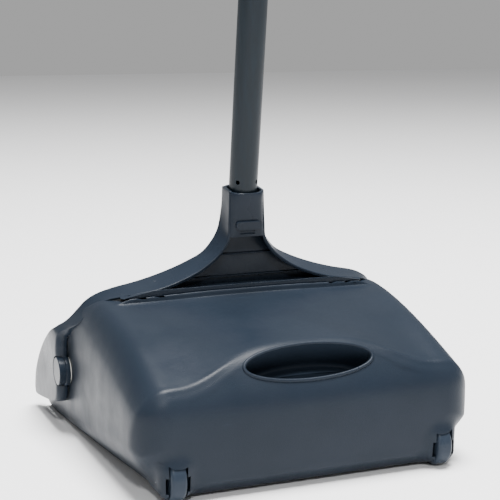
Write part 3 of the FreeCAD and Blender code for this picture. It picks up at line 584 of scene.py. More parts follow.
@dataclass
class Pan:
    """The moulded pan: skin, grip cup, wheel wells and pivot bosses."""

    wheel_line: float
    plastic: bpy.types.Material
    form: PanForm = field(default_factory=PanForm)
    oval: GripOval = field(default_factory=GripOval)
    columns: int = 150
    low_rows: int = 40
    hole_rows: int = 14
    top_rows: int = 3
    middle_y: float = 0.062
    length: float = 0.070
    inset: float = 0.012
    heart_z: float = 0.055
    sweep_rings: int = 26
    rear_rings: int = 12
    front_rings: int = 22
    rib_rings: int = 26
    mouth_rings: int = 5
    rib_band: tuple[float, float] = (0.0530, 0.0612)

    def place(self, points: Array) -> Array:
        """Carry points from the wheels' line to the frame."""
        return points + np.array([0.0, self.wheel_line, 0.0])

    def bend(self, p: Array) -> Array:
        """Carry straight grid points (x, z, w) to real x, y, z.

        w runs from minus length on the back face, through 0 on an upright plane, to length on
        the mouth's edge; y is a straight mix of those three surfaces.
        """
        x, z, w = p[..., 0], p[..., 1], p[..., 2]
        over = np.abs(x) - (self.form.rear_half - self.form.corner_radius)
        inner = np.clip(over, 0, 0.8 * self.form.corner_radius)
        radius = self.form.corner_radius
        turn = radius - np.sqrt(radius ** 2 - inner ** 2)
        turn = turn + 1.33 * np.maximum(over - 0.8 * radius, 0)
        back = self.form.back_depth(z) + turn
        front = self.form.mouth_depth(z)
        share = w / self.length
        y = np.where(share < 0, self.middle_y + (back - self.middle_y) * -share,
                     self.middle_y + (front - self.middle_y) * share)
        return np.stack([x, y, z], axis=-1)

    def meet(self, base: Array, step: Array, reach: float, inset: float) -> Array:
        """Real points where rays from base along step leave the form, found by halving."""
        low = np.zeros(base.shape[:-1])
        high = np.full(base.shape[:-1], reach)
        for _ in range(30):
            middle = (low + high) / 2
            inside = self.form.distance(self.bend(base + middle[..., None] * step), inset) < 0
            low = np.where(inside, middle, low)
            high = np.where(inside, high, middle)
        return self.bend(base + low[..., None] * step)

    def row_shares(self) -> Array:
        """Heights of the back grid's rows, as shares; denser beside the grip's top edge."""
        low = np.linspace(0, 0.735, self.low_rows + 1)
        hole = np.linspace(0.735, 0.985, self.hole_rows + 1)
        top = np.linspace(0.985, 1.0, self.top_rows + 1)
        return np.concatenate([low, hole[1:], top[1:]])

    def outline(self) -> tuple[Array, Array]:
        """Crest outline of the back in (x, z), and the same outline drawn in for the ray bases.

        Returns:
            Two arrays of shape (points, 2), running along the top, right, bottom and left.
        """
        shares = self.row_shares()
        across = np.linspace(-1, 1, self.columns + 1)
        wide, high, low = 0.141, 0.108, 0.004
        down = (high - low) * shares[::-1] + low
        top = np.stack([wide * across, np.full_like(across, high)], axis=-1)
        right = np.stack([np.full_like(down, wide), down], axis=-1)
        bottom = np.stack([-0.90 * wide * across, np.full_like(across, low)], axis=-1)
        left = np.stack([np.full_like(down, -wide), down[::-1]], axis=-1)
        targets = np.concatenate([top[:-1], right[:-1], bottom[:-1], left[:-1]])
        heart = np.array([0.0, self.heart_z])
        step = targets - heart
        step = step / np.linalg.norm(step, axis=-1, keepdims=True)
        near = np.zeros(len(step))
        far = np.full(len(step), 0.2)
        for _ in range(30):
            middle = (near + far) / 2
            p = heart + middle[:, None] * step
            inside = self.section_only(p[:, 0], p[:, 1]) < 0
            near = np.where(inside, middle, near)
            far = np.where(inside, far, middle)
        crest = heart + near[:, None] * step
        drop = 0.0016 + (self.inset - 0.0016) * smooth_step((np.abs(crest[:, 0]) - 0.055) / 0.035)
        above = np.clip((crest[:, 1] - self.heart_z) / 0.050, 0, 1)
        below = np.clip((self.heart_z - crest[:, 1]) / 0.050, 0, 1)
        base_z = crest[:, 1] - drop * above + self.inset * below
        base_x = crest[:, 0] * (1 - self.inset / self.form.rear_half)
        return crest, np.stack([base_x, base_z], axis=-1)

    def section_only(self, x: Array, z: Array) -> Array:
        """Distance to hood, sides and floor at the back's own depth, without the back itself."""
        form = self.form
        flat = np.stack([x, z, np.full_like(x, -self.length)], axis=-1)
        y = self.bend(flat)[..., 1]
        section = round_corner(form.hood(x, y, z), form.side(x, y, z, 0.0), form.edge_radius)
        return np.maximum(section, form.floor_rear_z - z)

    def back_grid(self, base: Array, hole_grow: float, hole_drop: float) -> tuple[Array, Array]:
        """Grid of (x, z) over the back, its cells wrapped round the oval hole.

        The four sides of the base outline are joined by a Coons patch. A block of cells over
        the grip is pushed out from a rectangle onto the ellipse, and the push dies away over
        the cells around it.

        Args:
            base: the drawn-in outline of shape (points, 2).
            hole_grow: how much larger than the grip's opening the hole is.
            hole_drop: how much lower than the grip's opening the hole is.

        Returns:
            The grid of shape (rows, columns, 2), and a mask of cells inside the hole.
        """
        n = self.columns
        shares = self.row_shares()
        m = len(shares) - 1
        top = base[:n + 1]
        right = base[n:n + m + 1][::-1]
        bottom = base[n + m:2 * n + m + 1][::-1]
        left = np.concatenate([base[2 * n + m:], base[:1]])
        u = np.linspace(0, 1, n + 1)[None, :, None]
        v = shares[:, None, None]
        patch = ((1 - v) * bottom[None] + v * top[None] + (1 - u) * left[:, None]
                 + u * right[:, None])
        patch = patch - ((1 - u) * (1 - v) * bottom[0] + u * (1 - v) * bottom[-1]
                         + (1 - u) * v * top[0] + u * v * top[-1])
        i = np.arange(n + 1)[None, :]
        j = np.arange(m + 1)[:, None]
        span = round(0.72 * self.oval.half_length / np.abs(top[-1, 0]) * n / 2)
        middle = n // 2
        j0, j1 = self.low_rows, self.low_rows + self.hole_rows
        cx = np.clip((i - middle) / span, -1, 1) + 0.0 * j
        cz = np.clip((j - (j0 + j1) / 2) / ((j1 - j0) / 2), -1, 1) + 0.0 * i
        edge = np.maximum(np.abs(cx), np.abs(cz))
        size = np.maximum(np.hypot(cx, cz), 1e-6)
        half_x = self.oval.half_length + hole_grow
        half_z = self.oval.seen_half_height(self.form) + hole_grow
        ring = np.stack([half_x * cx / size,
                         self.oval.centre[2] - hole_drop + half_z * cz / size], axis=-1)
        away = np.maximum.reduce([(middle - span - i) / 16 + 0.0 * j,
                                  (i - middle - span) / 16 + 0.0 * j,
                                  (j0 - j) / 14 + 0.0 * i,
                                  (j - j1) / self.top_rows + 0.0 * i])
        pull = (1 - smooth_step(away))[..., None]
        grid = patch * (1 - pull) + ring * pull
        inside = (edge[:-1, :-1] < 1) & (edge[1:, 1:] < 1) | (
            (np.abs(cx[:-1, :-1] + cx[1:, 1:]) < 2) & (np.abs(cz[:-1, :-1] + cz[1:, 1:]) < 2))
        return grid, inside

    def skin(self, inset: float, hole_grow: float, hole_drop: float
             ) -> tuple[Array, Array, Array]:
        """One skin of the moulding, with its mouth and its oval hole open.

        Args:
            inset: 0 for the outer skin, the wall for the inner one.
            hole_grow: see back_grid.
            hole_drop: see back_grid.

        Returns:
            Back grid points, mask of the hole's cells, and the ring grid from crest to mouth.
        """
        crest, base = self.outline()
        grid, hole = self.back_grid(base, hole_grow, hole_drop)
        depth = -self.length + self.inset
        flat = np.concatenate([grid, np.full(grid.shape[:2] + (1,), depth)], axis=-1)
        back = self.meet(flat, np.array([0.0, 0.0, -1.0]), 0.06, inset)
        radial = crest - base
        radial = radial / np.linalg.norm(radial, axis=-1, keepdims=True)
        out = np.concatenate([radial, np.zeros((len(radial), 1))], axis=-1)[None]
        angle = np.linspace(0, np.pi / 2, self.sweep_rings)[:, None, None]
        step = np.cos(angle) * np.array([0.0, 0.0, -1.0]) + np.sin(angle) * out
        start = np.concatenate([base, np.full((len(base), 1), depth)], axis=-1)[None]
        swept = self.meet(np.broadcast_to(start, step.shape), step, 0.06, inset)
        levels = np.concatenate([np.linspace(depth, 0, self.rear_rings)[1:],
                                 np.linspace(0, self.rib_band[0], self.front_rings)[1:],
                                 np.linspace(*self.rib_band, self.rib_rings)[1:],
                                 np.linspace(self.rib_band[1], self.length, self.mouth_rings)[1:]])
        start = np.concatenate([np.broadcast_to(base, (len(levels),) + base.shape),
                                np.broadcast_to(levels[:, None, None],
                                                (len(levels), len(base), 1))], axis=-1)
        walls = self.meet(start, np.broadcast_to(out, start.shape), 0.07, inset)
        return back, hole, np.concatenate([swept, walls])

    def build_skin(self) -> bpy.types.Object:
        """Outer and inner skin joined at the mouth and round the hole; the wheels' cuts come
        later.
        """
        bench = MeshBench("pan_skin")
        outer_back, hole, outer = self.skin(0.0, 0.0004, 0.0)
        inner_back, _, inner = self.skin(self.form.wall, 0.0030, 0.0015)
        rows, columns = outer_back.shape[:2]
        quads = grid_quads(rows, columns, False)[~hole.reshape(-1)]
        for back, rings in ((outer_back, outer), (inner_back, inner)):
            bench.add(self.place(back.reshape(-1, 3)), quads)
            bench.add_grid(self.place(rings), closed=True)
        rim = (outer[-1] + inner[-1]) / 2 + np.array([0.0, 0.0006, 0.0003])
        bench.add_grid(self.place(np.stack([outer[-1], rim, inner[-1]])), closed=True)
        ring = self.hole_ring(hole)
        bench.add_grid(self.place(np.stack([outer_back.reshape(-1, 3)[ring],
                                            inner_back.reshape(-1, 3)[ring]])), closed=True)
        return bench.finish(sharp_deg=32.0)

    def hole_ring(self, hole: Array) -> Array:
        """Indices of the back grid's points round the hole, in order."""
        columns = self.columns + 1
        rows, cols = np.nonzero(hole)
        r0, r1 = rows.min(), rows.max() + 1
        c0, c1 = cols.min(), cols.max() + 1
        top = [(r1, c) for c in range(c0, c1)]
        right = [(r, c1) for r in range(r1, r0, -1)]
        bottom = [(r0, c) for c in range(c1, c0, -1)]
        left = [(r, c0) for r in range(r0, r1)]
        return np.array([r * columns + c for r, c in top + right + bottom + left])

    def build_cup(self) -> bpy.types.Object:
        """Grip cup: a profile carried round the oval, over its rolled rim and down the pocket.

        Each ring is the rim curve moved along its outward direction, along the brow's normal
        and along the pocket's axis, by the profile's three distances.
        """
        oval = self.oval
        count = 220
        t = 2 * np.pi * np.arange(count) / count
        half_z = oval.seen_half_height(self.form)
        x = oval.half_length * np.cos(t)
        z = oval.centre[2] + half_z * np.sin(t)
        depth = -self.length + self.inset
        base = np.stack([x, z, np.full(count, depth)], axis=-1)
        rim = self.meet(base, np.array([0.0, 0.0, -1.0]), 0.06, 0.0)
        forward = np.roll(rim, -1, axis=0) - np.roll(rim, 1, axis=0)
        forward = forward / np.linalg.norm(forward, axis=-1, keepdims=True)
        lean = math.atan(self.form.brow_slope)
        normal = np.array([0.0, -math.cos(lean), math.sin(lean)])
        out = np.cross(forward, normal)
        out = out * np.sign(np.sum(out * (rim - rim.mean(axis=0)), axis=-1, keepdims=True))
        roll = np.linspace(0, np.pi, 9)
        steps = [(oval.rim * math.cos(a) + 0.0002, oval.rim * math.sin(a) - 0.0001, 0.0)
                 for a in roll]
        wall_out = -oval.rim + 0.0002
        for down in (0.003, 0.008, 0.014, 0.019, 0.022):
            steps.append((wall_out, 0.0, down))
        for a in np.linspace(0.2, np.pi / 2, 6):
            steps.append((wall_out - 0.0022 * (1 - math.cos(a)), 0.0,
                          oval.depth - 0.0022 + 0.0022 * math.sin(a)))
        rings = [rim + s * out + n * normal - d * oval.axis for s, n, d in steps]
        floor = rings[-1]
        middle = floor.mean(axis=0)
        for share in (0.96, 0.85, 0.7, 0.5, 0.3, 0.12, 0.0):
            fold = oval.fold * (1 - np.abs(share * np.sin(t))) * math.sqrt(1 - share * share)
            rings.append(middle + share * (floor - middle) + fold[:, None] * oval.axis)
        inner = np.stack(rings)
        shell = [(0.0030, -0.0026, 0.0), (0.0026, -0.0030, 0.006), (0.0026, -0.0030, 0.014),
                 (0.0018, -0.0010, oval.depth + 0.0012)]
        behind = [rim + s * out + n * normal - d * oval.axis for s, n, d in shell]
        last = behind[-1]
        middle = last.mean(axis=0)
        behind += [middle + share * (last - middle) for share in (0.6, 0.0)]
        bench = MeshBench("grip_cup")
        bench.add_grid(self.place(inner), closed=True)
        bench.add_grid(self.place(np.stack([inner[0]] + behind)), closed=True)
        return bench.finish(sharp_deg=50.0, merge=2e-5)

    def build_pod_core(self, side: Side) -> bpy.types.Object:
        """Solid plastic round a wheel's well: a rounded block kept inside the outer form.

        Each point lies in its own direction from the pod's middle, at the block's surface or,
        where that would stand proud, just under the pan's skin.
        """
        form = self.form
        turn = 2 * np.pi * np.arange(96) / 96
        rise = np.linspace(-np.pi / 2, np.pi / 2, 49)
        u, v = np.meshgrid(turn, rise)
        ray = np.stack([np.cos(v) * np.cos(u), np.cos(v) * np.sin(u), np.sin(v)], axis=-1)
        half = np.array([form.pod_half[0] - 0.0004, form.pod_half[1] + 0.002, 0.0155])
        reach = ((np.abs(ray) / half) ** 12).sum(axis=-1) ** (-1 / 12)
        middle = np.array([side.value * form.pod_x, form.pod_centre[0] + 0.001, 0.0195])
        low = np.zeros_like(reach)
        high = reach.copy()
        for _ in range(24):
            half_way = (low + high) / 2
            inside = form.distance(middle + half_way[..., None] * ray) < -0.0003
            low = np.where(inside, half_way, low)
            high = np.where(inside, high, half_way)
        bench = MeshBench(f"pod_core_{side.label}")
        bench.add_grid(self.place(middle + low[..., None] * ray), closed=True)
        return bench.finish(sharp_deg=60.0)

    def build_boss(self, side: Side) -> bpy.types.Object:
        """Boss for the pivot pin inside the side wall: a turned ring with a coved foot."""
        wall_x = self.form.mouth_half - self.form.wall
        corners = [(wall_x + 0.001, 0.0062, 0), (wall_x - 0.0080, 0.0062, 0.0002),
                   (wall_x - 0.0080, 0.0105, 0.0008), (wall_x - 0.0002, 0.0105, 0.0020),
                   (wall_x + 0.001, 0.0132, 0)]
        profile = rounded_profile(corners)
        profile[:, 0] *= side.value
        grid = turned(profile, np.array([0.0, *self.form.pivot]), 64)
        bench = MeshBench(f"pivot_boss_{side.label}")
        bench.add_grid(self.place(closed_rings(grid)))
        return bench.finish(sharp_deg=40.0)

    def form_wheel_pods(self, skin: bpy.types.Object) -> None:
        """Join each pod's core to the skin, then cut the wheel's slot and its drop-in notch."""
        for side in Side:
            combine(skin, self.build_pod_core(side), "UNION")
            centre = np.array([side.value * self.form.pod_x, self.wheel_line, self.form.wheel_z])
            slot = np.array([(-0.0075, 0.0), (-0.0075, 0.0198), (0.0075, 0.0198), (0.0075, 0.0)])
            bench = MeshBench("slot_cutter")
            bench.add_grid(closed_rings(turned(slot, centre, 97)))
            drum = bench.finish()
            combine(skin, drum, "DIFFERENCE")
            low = centre + np.array([-0.0098, -0.040, -0.0080])
            high = centre + np.array([0.0098, 0.0035, 0.0045])
            combine(skin, block("notch_cutter", low, high), "DIFFERENCE")

    def build(self) -> None:
        """Make the pan's pieces, dress them and set what they ride on."""
        skin = self.build_skin()
        self.form_wheel_pods(skin)
        shade(skin, 32.0)
        pieces = [skin, self.build_cup()]
        for side in Side:
            pieces.append(self.build_boss(side))
        for piece in pieces:
            dress(piece, self.plastic)
            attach(piece, "pan")
            log.info("%s: %d faces", piece.name, len(piece.data.polygons))
        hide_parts("pan_shell")


def flow(table: Array, rows: int) -> Array:
    """Smooth rows through a table's rows: a cubic through each, with slopes from its neighbours.

    The running distance between rows is the parameter, so that uneven rows don't ripple.
    """
    gaps = np.sqrt(np.linalg.norm(np.diff(table[:, :6], axis=0), axis=-1))
    knots = np.concatenate([[0.0], np.cumsum(gaps)])
    slope = np.gradient(table, knots, axis=0)
    at = np.linspace(0, knots[-1], rows)
    i = np.clip(np.searchsorted(knots, at, side="right") - 1, 0, len(knots) - 2)
    gap = (knots[i + 1] - knots[i])[:, None]
    t = ((at - knots[i])[:, None]) / gap
    return ((1 + 2 * t) * (1 - t) ** 2 * table[i] + t * (1 - t) ** 2 * gap * slope[i]
            + t * t * (3 - 2 * t) * table[i + 1] - t * t * (1 - t) * gap * slope[i + 1])


def close_ends(grid: Array, rounding: float) -> Array:
    """Close a tube of rings: each end gets a drawn-in ring and a point at its middle."""
    ends = []
    for ring, inner in ((grid[0], grid[1]), (grid[-1], grid[-2])):
        middle = ring.mean(axis=0)
        out = middle - inner.mean(axis=0)
        out = out / max(float(np.linalg.norm(out)), 1e-9)
        ends.append((middle + 0.93 * (ring - middle) + rounding * out,
                     np.broadcast_to(middle, ring.shape) + rounding * out))
    return np.concatenate([ends[0][1][None], ends[0][0][None], grid,
                           ends[1][0][None], ends[1][1][None]])


def slab(name: str, corners: Array, radius: float) -> bpy.types.Object:
    """Box between two corners with its edges rounded for good."""
    box = block(name, corners.min(axis=0), corners.max(axis=0))
    work = bmesh.new()
    work.from_mesh(box.data)
    bmesh.ops.bevel(work, geom=work.edges[:], offset=radius, segments=3, profile=0.5,
                    affect="EDGES")
    work.to_mesh(box.data)
    work.free()
    return box


def block(name: str, low: Array, high: Array) -> bpy.types.Object:
    """Box between two corners, used as a cutter."""
    corner = np.array([(x, y, z) for x in (0, 1) for y in (0, 1) for z in (0, 1)], dtype=float)
    bench = MeshBench(name)
    quads = np.array([[0, 1, 3, 2], [4, 6, 7, 5], [0, 4, 5, 1], [2, 3, 7, 6], [0, 2, 6, 4],
                      [1, 5, 7, 3]])
    bench.add(low + corner * (high - low), quads)
    return bench.finish()


def combine(piece: bpy.types.Object, other: bpy.types.Object, operation: str) -> None:
    """Join another solid to a piece, or take it out, for good; the other one is deleted."""
    cut = piece.modifiers.new("combine", "BOOLEAN")
    cut.operation = operation
    cut.solver = "MANIFOLD"
    cut.object = other
    graph = bpy.context.evaluated_depsgraph_get()
    mesh = bpy.data.meshes.new_from_object(piece.evaluated_get(graph))
    piece.modifiers.clear()
    old = piece.data
    piece.data = mesh
    bpy.data.meshes.remove(old)
    bpy.data.objects.remove(other)


# ------------------------------------------------------------------ yoke
@dataclass
class Yoke:
    """The moulded yoke: two ribbons that are socket side, flange, arm and cheek in one sweep,
    with the socket, the panel of the dish, its shelf and its ribs between them."""

    wheel_line: float
    plastic: bpy.types.Material
    lean_deg: float = 8.2
    foot: tuple[float, float] = (0.153, 0.150)
    rows: int = 190
    panel_y: tuple[float, float] = (0.1510, 0.1538)
    apron_z: float = 0.119
    shelf_z: float = 0.1355
    shelf_lip: float = 0.0052
    shelf_y: tuple[float, float] = (0.1336, 0.1520)
    dish_top_z: float = 0.181
    dish_foot_z: float = 0.134
    rib_y: tuple[float, float] = (0.1485, 0.1520)
    rib_half_thickness: float = 0.0007
    rib_heights: tuple[float, float] = (0.1405, 0.1600)
    pivot: tuple[float, float] = (0.190, 0.058)
    pin_head: float = 0.0134
    pin_hole: float = 0.0061
    ear_x: tuple[float, float] = (0.1487, 0.1527)
    # Each station: rear edge x, y, z, front edge x, y, z and thickness, in millimetres, from the
    # socket's rim down the flange and arm to the foot of the cheek. The first ones are the dish.
    dish_stations: int = 11
    stations: tuple[tuple[float, ...], ...] = (
        (16.1, 134.0, 217.0, 16.1, 153.0, 219.7, 2.6),
        (16.5, 134.0, 202.0, 16.5, 154.0, 204.5, 2.8),
        (17.0, 133.8, 188.0, 18.4, 154.0, 191.0, 3.0),
        (17.8, 133.8, 176.5, 22.0, 153.5, 180.0, 3.0),
        (22.4, 134.0, 168.0, 27.4, 154.0, 171.2, 3.0),
        (29.2, 134.0, 160.4, 34.8, 155.0, 163.0, 3.0),
        (43.5, 134.0, 150.2, 49.5, 156.5, 155.2, 3.0),
        (60.5, 134.0, 142.6, 69.5, 158.0, 147.4, 3.0),
        (79.0, 134.0, 136.9, 92.0, 159.5, 140.8, 3.0),
        (97.0, 136.0, 133.9, 115.5, 162.5, 135.3, 2.6),
        (112.0, 141.0, 131.2, 127.8, 167.5, 130.2, 2.2),
        (124.0, 147.4, 127.6, 136.2, 171.0, 124.3, 2.0),
        (133.5, 150.0, 121.0, 142.0, 176.0, 116.4, 2.0),
        (140.5, 154.0, 113.0, 146.6, 183.0, 108.4, 2.2),
        (146.0, 163.0, 105.0, 150.8, 191.0, 102.0, 3.0),
        (150.5, 177.0, 98.0, 155.0, 200.0, 97.0, 5.5),
        (156.0, 186.0, 91.0, 158.3, 210.5, 91.8, 9.0),
        (158.5, 187.5, 80.0, 158.5, 232.0, 80.0, 9.8),
        (158.5, 187.5, 66.0, 158.5, 252.0, 66.0, 9.8),
        (158.5, 187.5, 50.0, 158.5, 270.0, 49.0, 9.8),
        (158.5, 189.0, 36.0, 158.5, 280.5, 35.0, 9.8),
        (158.5, 196.0, 28.5, 158.5, 284.2, 24.0, 9.8),
        (158.5, 236.0, 20.0, 158.5, 283.6, 16.5, 9.8),
        (158.5, 264.0, 15.5, 158.5, 281.0, 14.2, 9.8))
    loop: tuple[int, int] = (9, 14)

    def place(self, points: Array) -> Array:
        """Carry points from the wheels' line to the frame."""
        return points + np.array([0.0, self.wheel_line, 0.0])

    def lean(self, points: Array) -> Array:
        """Carry points in the handle's own axes to the wheels' line."""
        a = math.radians(self.lean_deg)
        y = self.foot[0] + points[..., 1] * math.cos(a) - points[..., 2] * math.sin(a)
        z = self.foot[1] + points[..., 1] * math.sin(a) + points[..., 2] * math.cos(a)
        return np.stack([points[..., 0], y, z], axis=-1)

    def ribbon(self, side: Side) -> Array:
        """Loft of a rounded strip along smooth rear and front edge curves.

        The strip's outer face joins the two edges; its thickness goes inwards along the normal
        of that face, and each corner is an arc.

        Returns:
            Array of shape (rows + 4, loop points, 3), closed at both ends.
        """
        table = flow(np.array(self.stations) / MM_PER_METRE, self.rows)
        rear, front, thick = table[:, 0:3], table[:, 3:6], table[:, 6:7]
        span = front - rear
        width = np.linalg.norm(span, axis=-1, keepdims=True)
        across = span / width
        along = np.gradient((rear + front) / 2, axis=0)
        normal = np.cross(along, across)
        normal = normal / np.linalg.norm(normal, axis=-1, keepdims=True)
        wide = smooth_step((thick - 0.004) / 0.004)
        rounds = [0.0009 + 0.0056 * wide, 0.0010 + 0.0020 * wide,
                  0.0008 + 0.0010 * wide, 0.0008 + 0.0010 * wide]
        places = [(0.0, 0.0), (1.0, 0.0), (1.0, 1.0), (0.0, 1.0)]
        arc_steps, flat_steps = self.loop
        arc = np.linspace(0, np.pi / 2, arc_steps)[None]
        u, v = [], []
        for k, ((s, t), radius) in enumerate(zip(places, rounds)):
            start = np.pi - k * np.pi / 2
            cu = s * width + (1 - 2 * s) * radius
            cv = -t * thick - (1 - 2 * t) * radius
            u.append(cu + radius * np.cos(start - arc))
            v.append(cv + radius * np.sin(start - arc))
        share = np.linspace(0, 1, flat_steps + 2)[None, 1:-1]
        loops_u, loops_v = [], []
        for k in range(4):
            nxt = (k + 1) % 4
            loops_u += [u[k], u[k][:, -1:] + (u[nxt][:, :1] - u[k][:, -1:]) * share]
            loops_v += [v[k], v[k][:, -1:] + (v[nxt][:, :1] - v[k][:, -1:]) * share]
        u = np.concatenate(loops_u, axis=1)[..., None]
        v = np.concatenate(loops_v, axis=1)[..., None]
        grid = rear[:, None] + u * across[:, None] + v * normal[:, None]
        grid = close_ends(grid, 0.0006)
        return grid * np.array([side.value, 1.0, 1.0])

    def half_width(self, z: Array, front: bool) -> Array:
        """Half-width of the dish at height z, at its rear or its front edge."""
        table = flow(np.array(self.stations)[:self.dish_stations] / MM_PER_METRE, self.rows)
        x, height = (table[:, 3], table[:, 5]) if front else (table[:, 0], table[:, 2])
        return np.interp(-z, -height, x)

    def inner_half(self, z: Array) -> Array:
        """Half-width of the dish at height z, on the upright plane of the panel."""
        rear, front = self.half_width(z, False), self.half_width(z, True)
        return rear + 0.6 * (front - rear) - 0.0012

    def socket(self) -> Array:
        """Socket: rounded-square loops up the handle's axis, over the rim and down the bore.

        A loop is x = a cos |cos|^-p and y = b sin |sin|^-p, clipped to a and b: a circle where
        p is 0, and squarer as p grows.
        """
        rises = np.array([30.0, 33.0, 40.0, 52.0, 62.0, 67.6, 68.6, 69.0, 69.0, 68.6, 66.0, 62.2,
                          62.0, 62.0, 40.0]) / MM_PER_METRE
        half = np.array([17.6, 17.2, 16.7, 16.2, 16.0, 16.0, 15.8, 15.4, 15.3, 15.15, 15.1, 15.1,
                         15.0, 12.7, 12.7]) / MM_PER_METRE
        deep = np.array([16.2, 16.2, 16.2, 16.3, 16.4, 16.4, 16.2, 15.8, 15.3, 15.15, 15.1, 15.1,
                         15.0, 12.7, 12.7]) / MM_PER_METRE
        power = np.array([0.72, 0.70, 0.62, 0.50, 0.42, 0.40, 0.38, 0.34, 0.1, 0.0, 0.0, 0.0, 0.0,
                          0.0, 0.0])
        turn = 2 * np.pi * np.arange(144) / 144
        c, s = np.cos(turn)[None], np.sin(turn)[None]
        x = half[:, None] * c * np.maximum(np.abs(c), 1e-9) ** -power[:, None]
        y = deep[:, None] * s * np.maximum(np.abs(s), 1e-9) ** -power[:, None]
        x = np.clip(x, -half[:, None], half[:, None])
        y = np.clip(y, -deep[:, None], deep[:, None])
        z = np.broadcast_to(rises[:, None], x.shape)
        return close_ends(self.lean(np.stack([x, y, z], axis=-1)), 0.0)

    def panel(self, rows: int = 40) -> Array:
        """Upright plate from the apron to the socket, as wide as the dish at each height."""
        z = np.linspace(self.apron_z, self.dish_top_z, rows)
        half = self.inner_half(np.maximum(z, self.dish_foot_z))
        low, high = (np.full(rows, y) for y in self.panel_y)
        corners = [(-half, low, z), (half, low, z), (half, high, z), (-half, high, z)]
        return close_ends(np.stack([np.stack(c, axis=-1) for c in corners], axis=1), 0.0)

    def build_body(self) -> bpy.types.Object:
        """All parts of the yoke joined into one solid."""
        parts = []
        for side in Side:
            bench = MeshBench(f"ribbon_{side.label}")
            bench.add_grid(self.place(self.ribbon(side)), closed=True)
            parts.append(bench.finish())
        bench = MeshBench("socket")
        bench.add_grid(self.place(self.socket()), closed=True)
        parts.append(bench.finish())
        bench = MeshBench("panel")
        bench.add_grid(self.place(self.panel()), closed=True)
        parts.append(bench.finish())
        for height in self.rib_heights:
            half = float(self.inner_half(np.array(height)))
            thick = self.rib_half_thickness
            box = np.array([[-half, self.rib_y[0], height - thick],
                            [half, self.rib_y[1], height + thick]])
            parts.append(slab("rib", self.place(box), 0.0005))
        parts.append(self.build_shelf())
        parts.extend(self.build_ears())
        body = parts[0]
        for other in parts[1:]:
            combine(body, other, "UNION")
        self.cut_details(body)
        body.name = "yoke_body"
        return body

    def build_shelf(self) -> bpy.types.Object:
        """Shelf at the dish's foot: thin rolled lip at the rear, thicker towards the panel."""
        s, lip = self.shelf_z, self.shelf_lip
        rear_y, front_y = self.shelf_y
        profile = rounded_profile([(front_y, s - 0.0002, 0), (0.1450, s - 0.0002, 0.002),
                                   (0.1372, s, 0.001), (0.1338, s + 0.0005, 0.0007),
                                   (rear_y, s - lip, 0.0006), (0.1380, s - lip - 0.0004, 0.001),
                                   (0.1450, s - 0.0030, 0.003), (front_y, s - 0.0030, 0)], 5)
        share = np.linspace(-1, 1, 61)[:, None]
        rear = self.half_width(profile[:, 1], False) - 0.0012
        front = self.inner_half(profile[:, 1])
        half = rear + (front - rear) * (profile[:, 0] - rear_y) / (front_y - rear_y)
        x = share * half
        y = np.broadcast_to(profile[:, 0], x.shape)
        z = np.broadcast_to(profile[:, 1], x.shape)
        bench = MeshBench("shelf")
        bench.add_grid(self.place(close_ends(np.stack([x, y, z], axis=-1), 0.0)), closed=True)
        return bench.finish()

    def build_ears(self) -> list[bpy.types.Object]:
        """Thin ear round each pivot, joined to the cheek by a flat link."""
        ears = []
        low, high = self.ear_x
        y, z = self.pivot
        for side in Side:
            corners = [(low, 0.0, 0), (low, self.pin_head, 0.0005),
                       (high, self.pin_head, 0.0008), (high, 0.0, 0)]
            profile = rounded_profile(corners)
            profile[:, 0] *= side.value
            bench = MeshBench("ear")
            bench.add_grid(closed_rings(turned(profile, self.place(np.array([0, y, z])), 72)))
            ears.append(bench.finish())
            box = np.array([[side.value * low, y, z - self.pin_head],
                            [side.value * high, 0.210, z + self.pin_head]])
            ears.append(slab("link", self.place(box), 0.0004))
        return ears

    def cut_details(self, body: bpy.types.Object) -> None:
        """Cut the sunk bar, the thumb dish, and the pins' seats and holes."""
        bar = self.lean(np.array([[-0.007, -0.0195, 0.0327], [0.007, -0.0148, 0.0353]]))
        combine(body, slab("bar", self.place(bar), 0.0008), "DIFFERENCE")
        y, z = self.pivot
        for side in Side:
            face, head, shank, past = self.ear_x[1], self.pin_head, self.pin_hole, 0.2
            seat = np.array([(face, 0.0), (face, head), (past, head), (past, 0.0)])
            hole = np.array([(0.14, 0.0), (0.14, shank), (past, shank), (past, 0.0)])
            for profile in (seat, hole):
                profile = profile * np.array([side.value, 1.0])
                bench = MeshBench("pin_cutter")
                bench.add_grid(closed_rings(turned(profile, self.place(np.array([0, y, z])), 72)))
                combine(body, bench.finish(), "DIFFERENCE")
        turn = np.linspace(0, np.pi, 25)
        ball = np.stack([0.012 * np.cos(turn), 0.012 * np.sin(turn)], axis=-1)
        centre = self.place(self.lean(np.array([0.0, 0.0267, 0.054])))
        bench = MeshBench("thumb_dish")
        bench.add_grid(closed_rings(turned(ball, centre, 48)))
        combine(body, bench.finish(), "DIFFERENCE")

    def build(self) -> None:
        """Make the yoke, dress it and set what it rides on."""
        body = self.build_body()
        shade(body, 33.0)
        dress(body, self.plastic)
        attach(body, "handle")
        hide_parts("yoke")
        log.info("%s: %d faces", body.name, len(body.data.polygons))


# ------------------------------------------------------------------ frame nodes
def dress_node(name: str, material: bpy.types.Material) -> None:
    """Give a carried-over CAD node its material."""
    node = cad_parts[name]
    for slot in node.material_slots:
        slot.material = material
    if not node.material_slots:
        node.data.materials.append(material)
    log.info("%s: CAD node dressed", name)


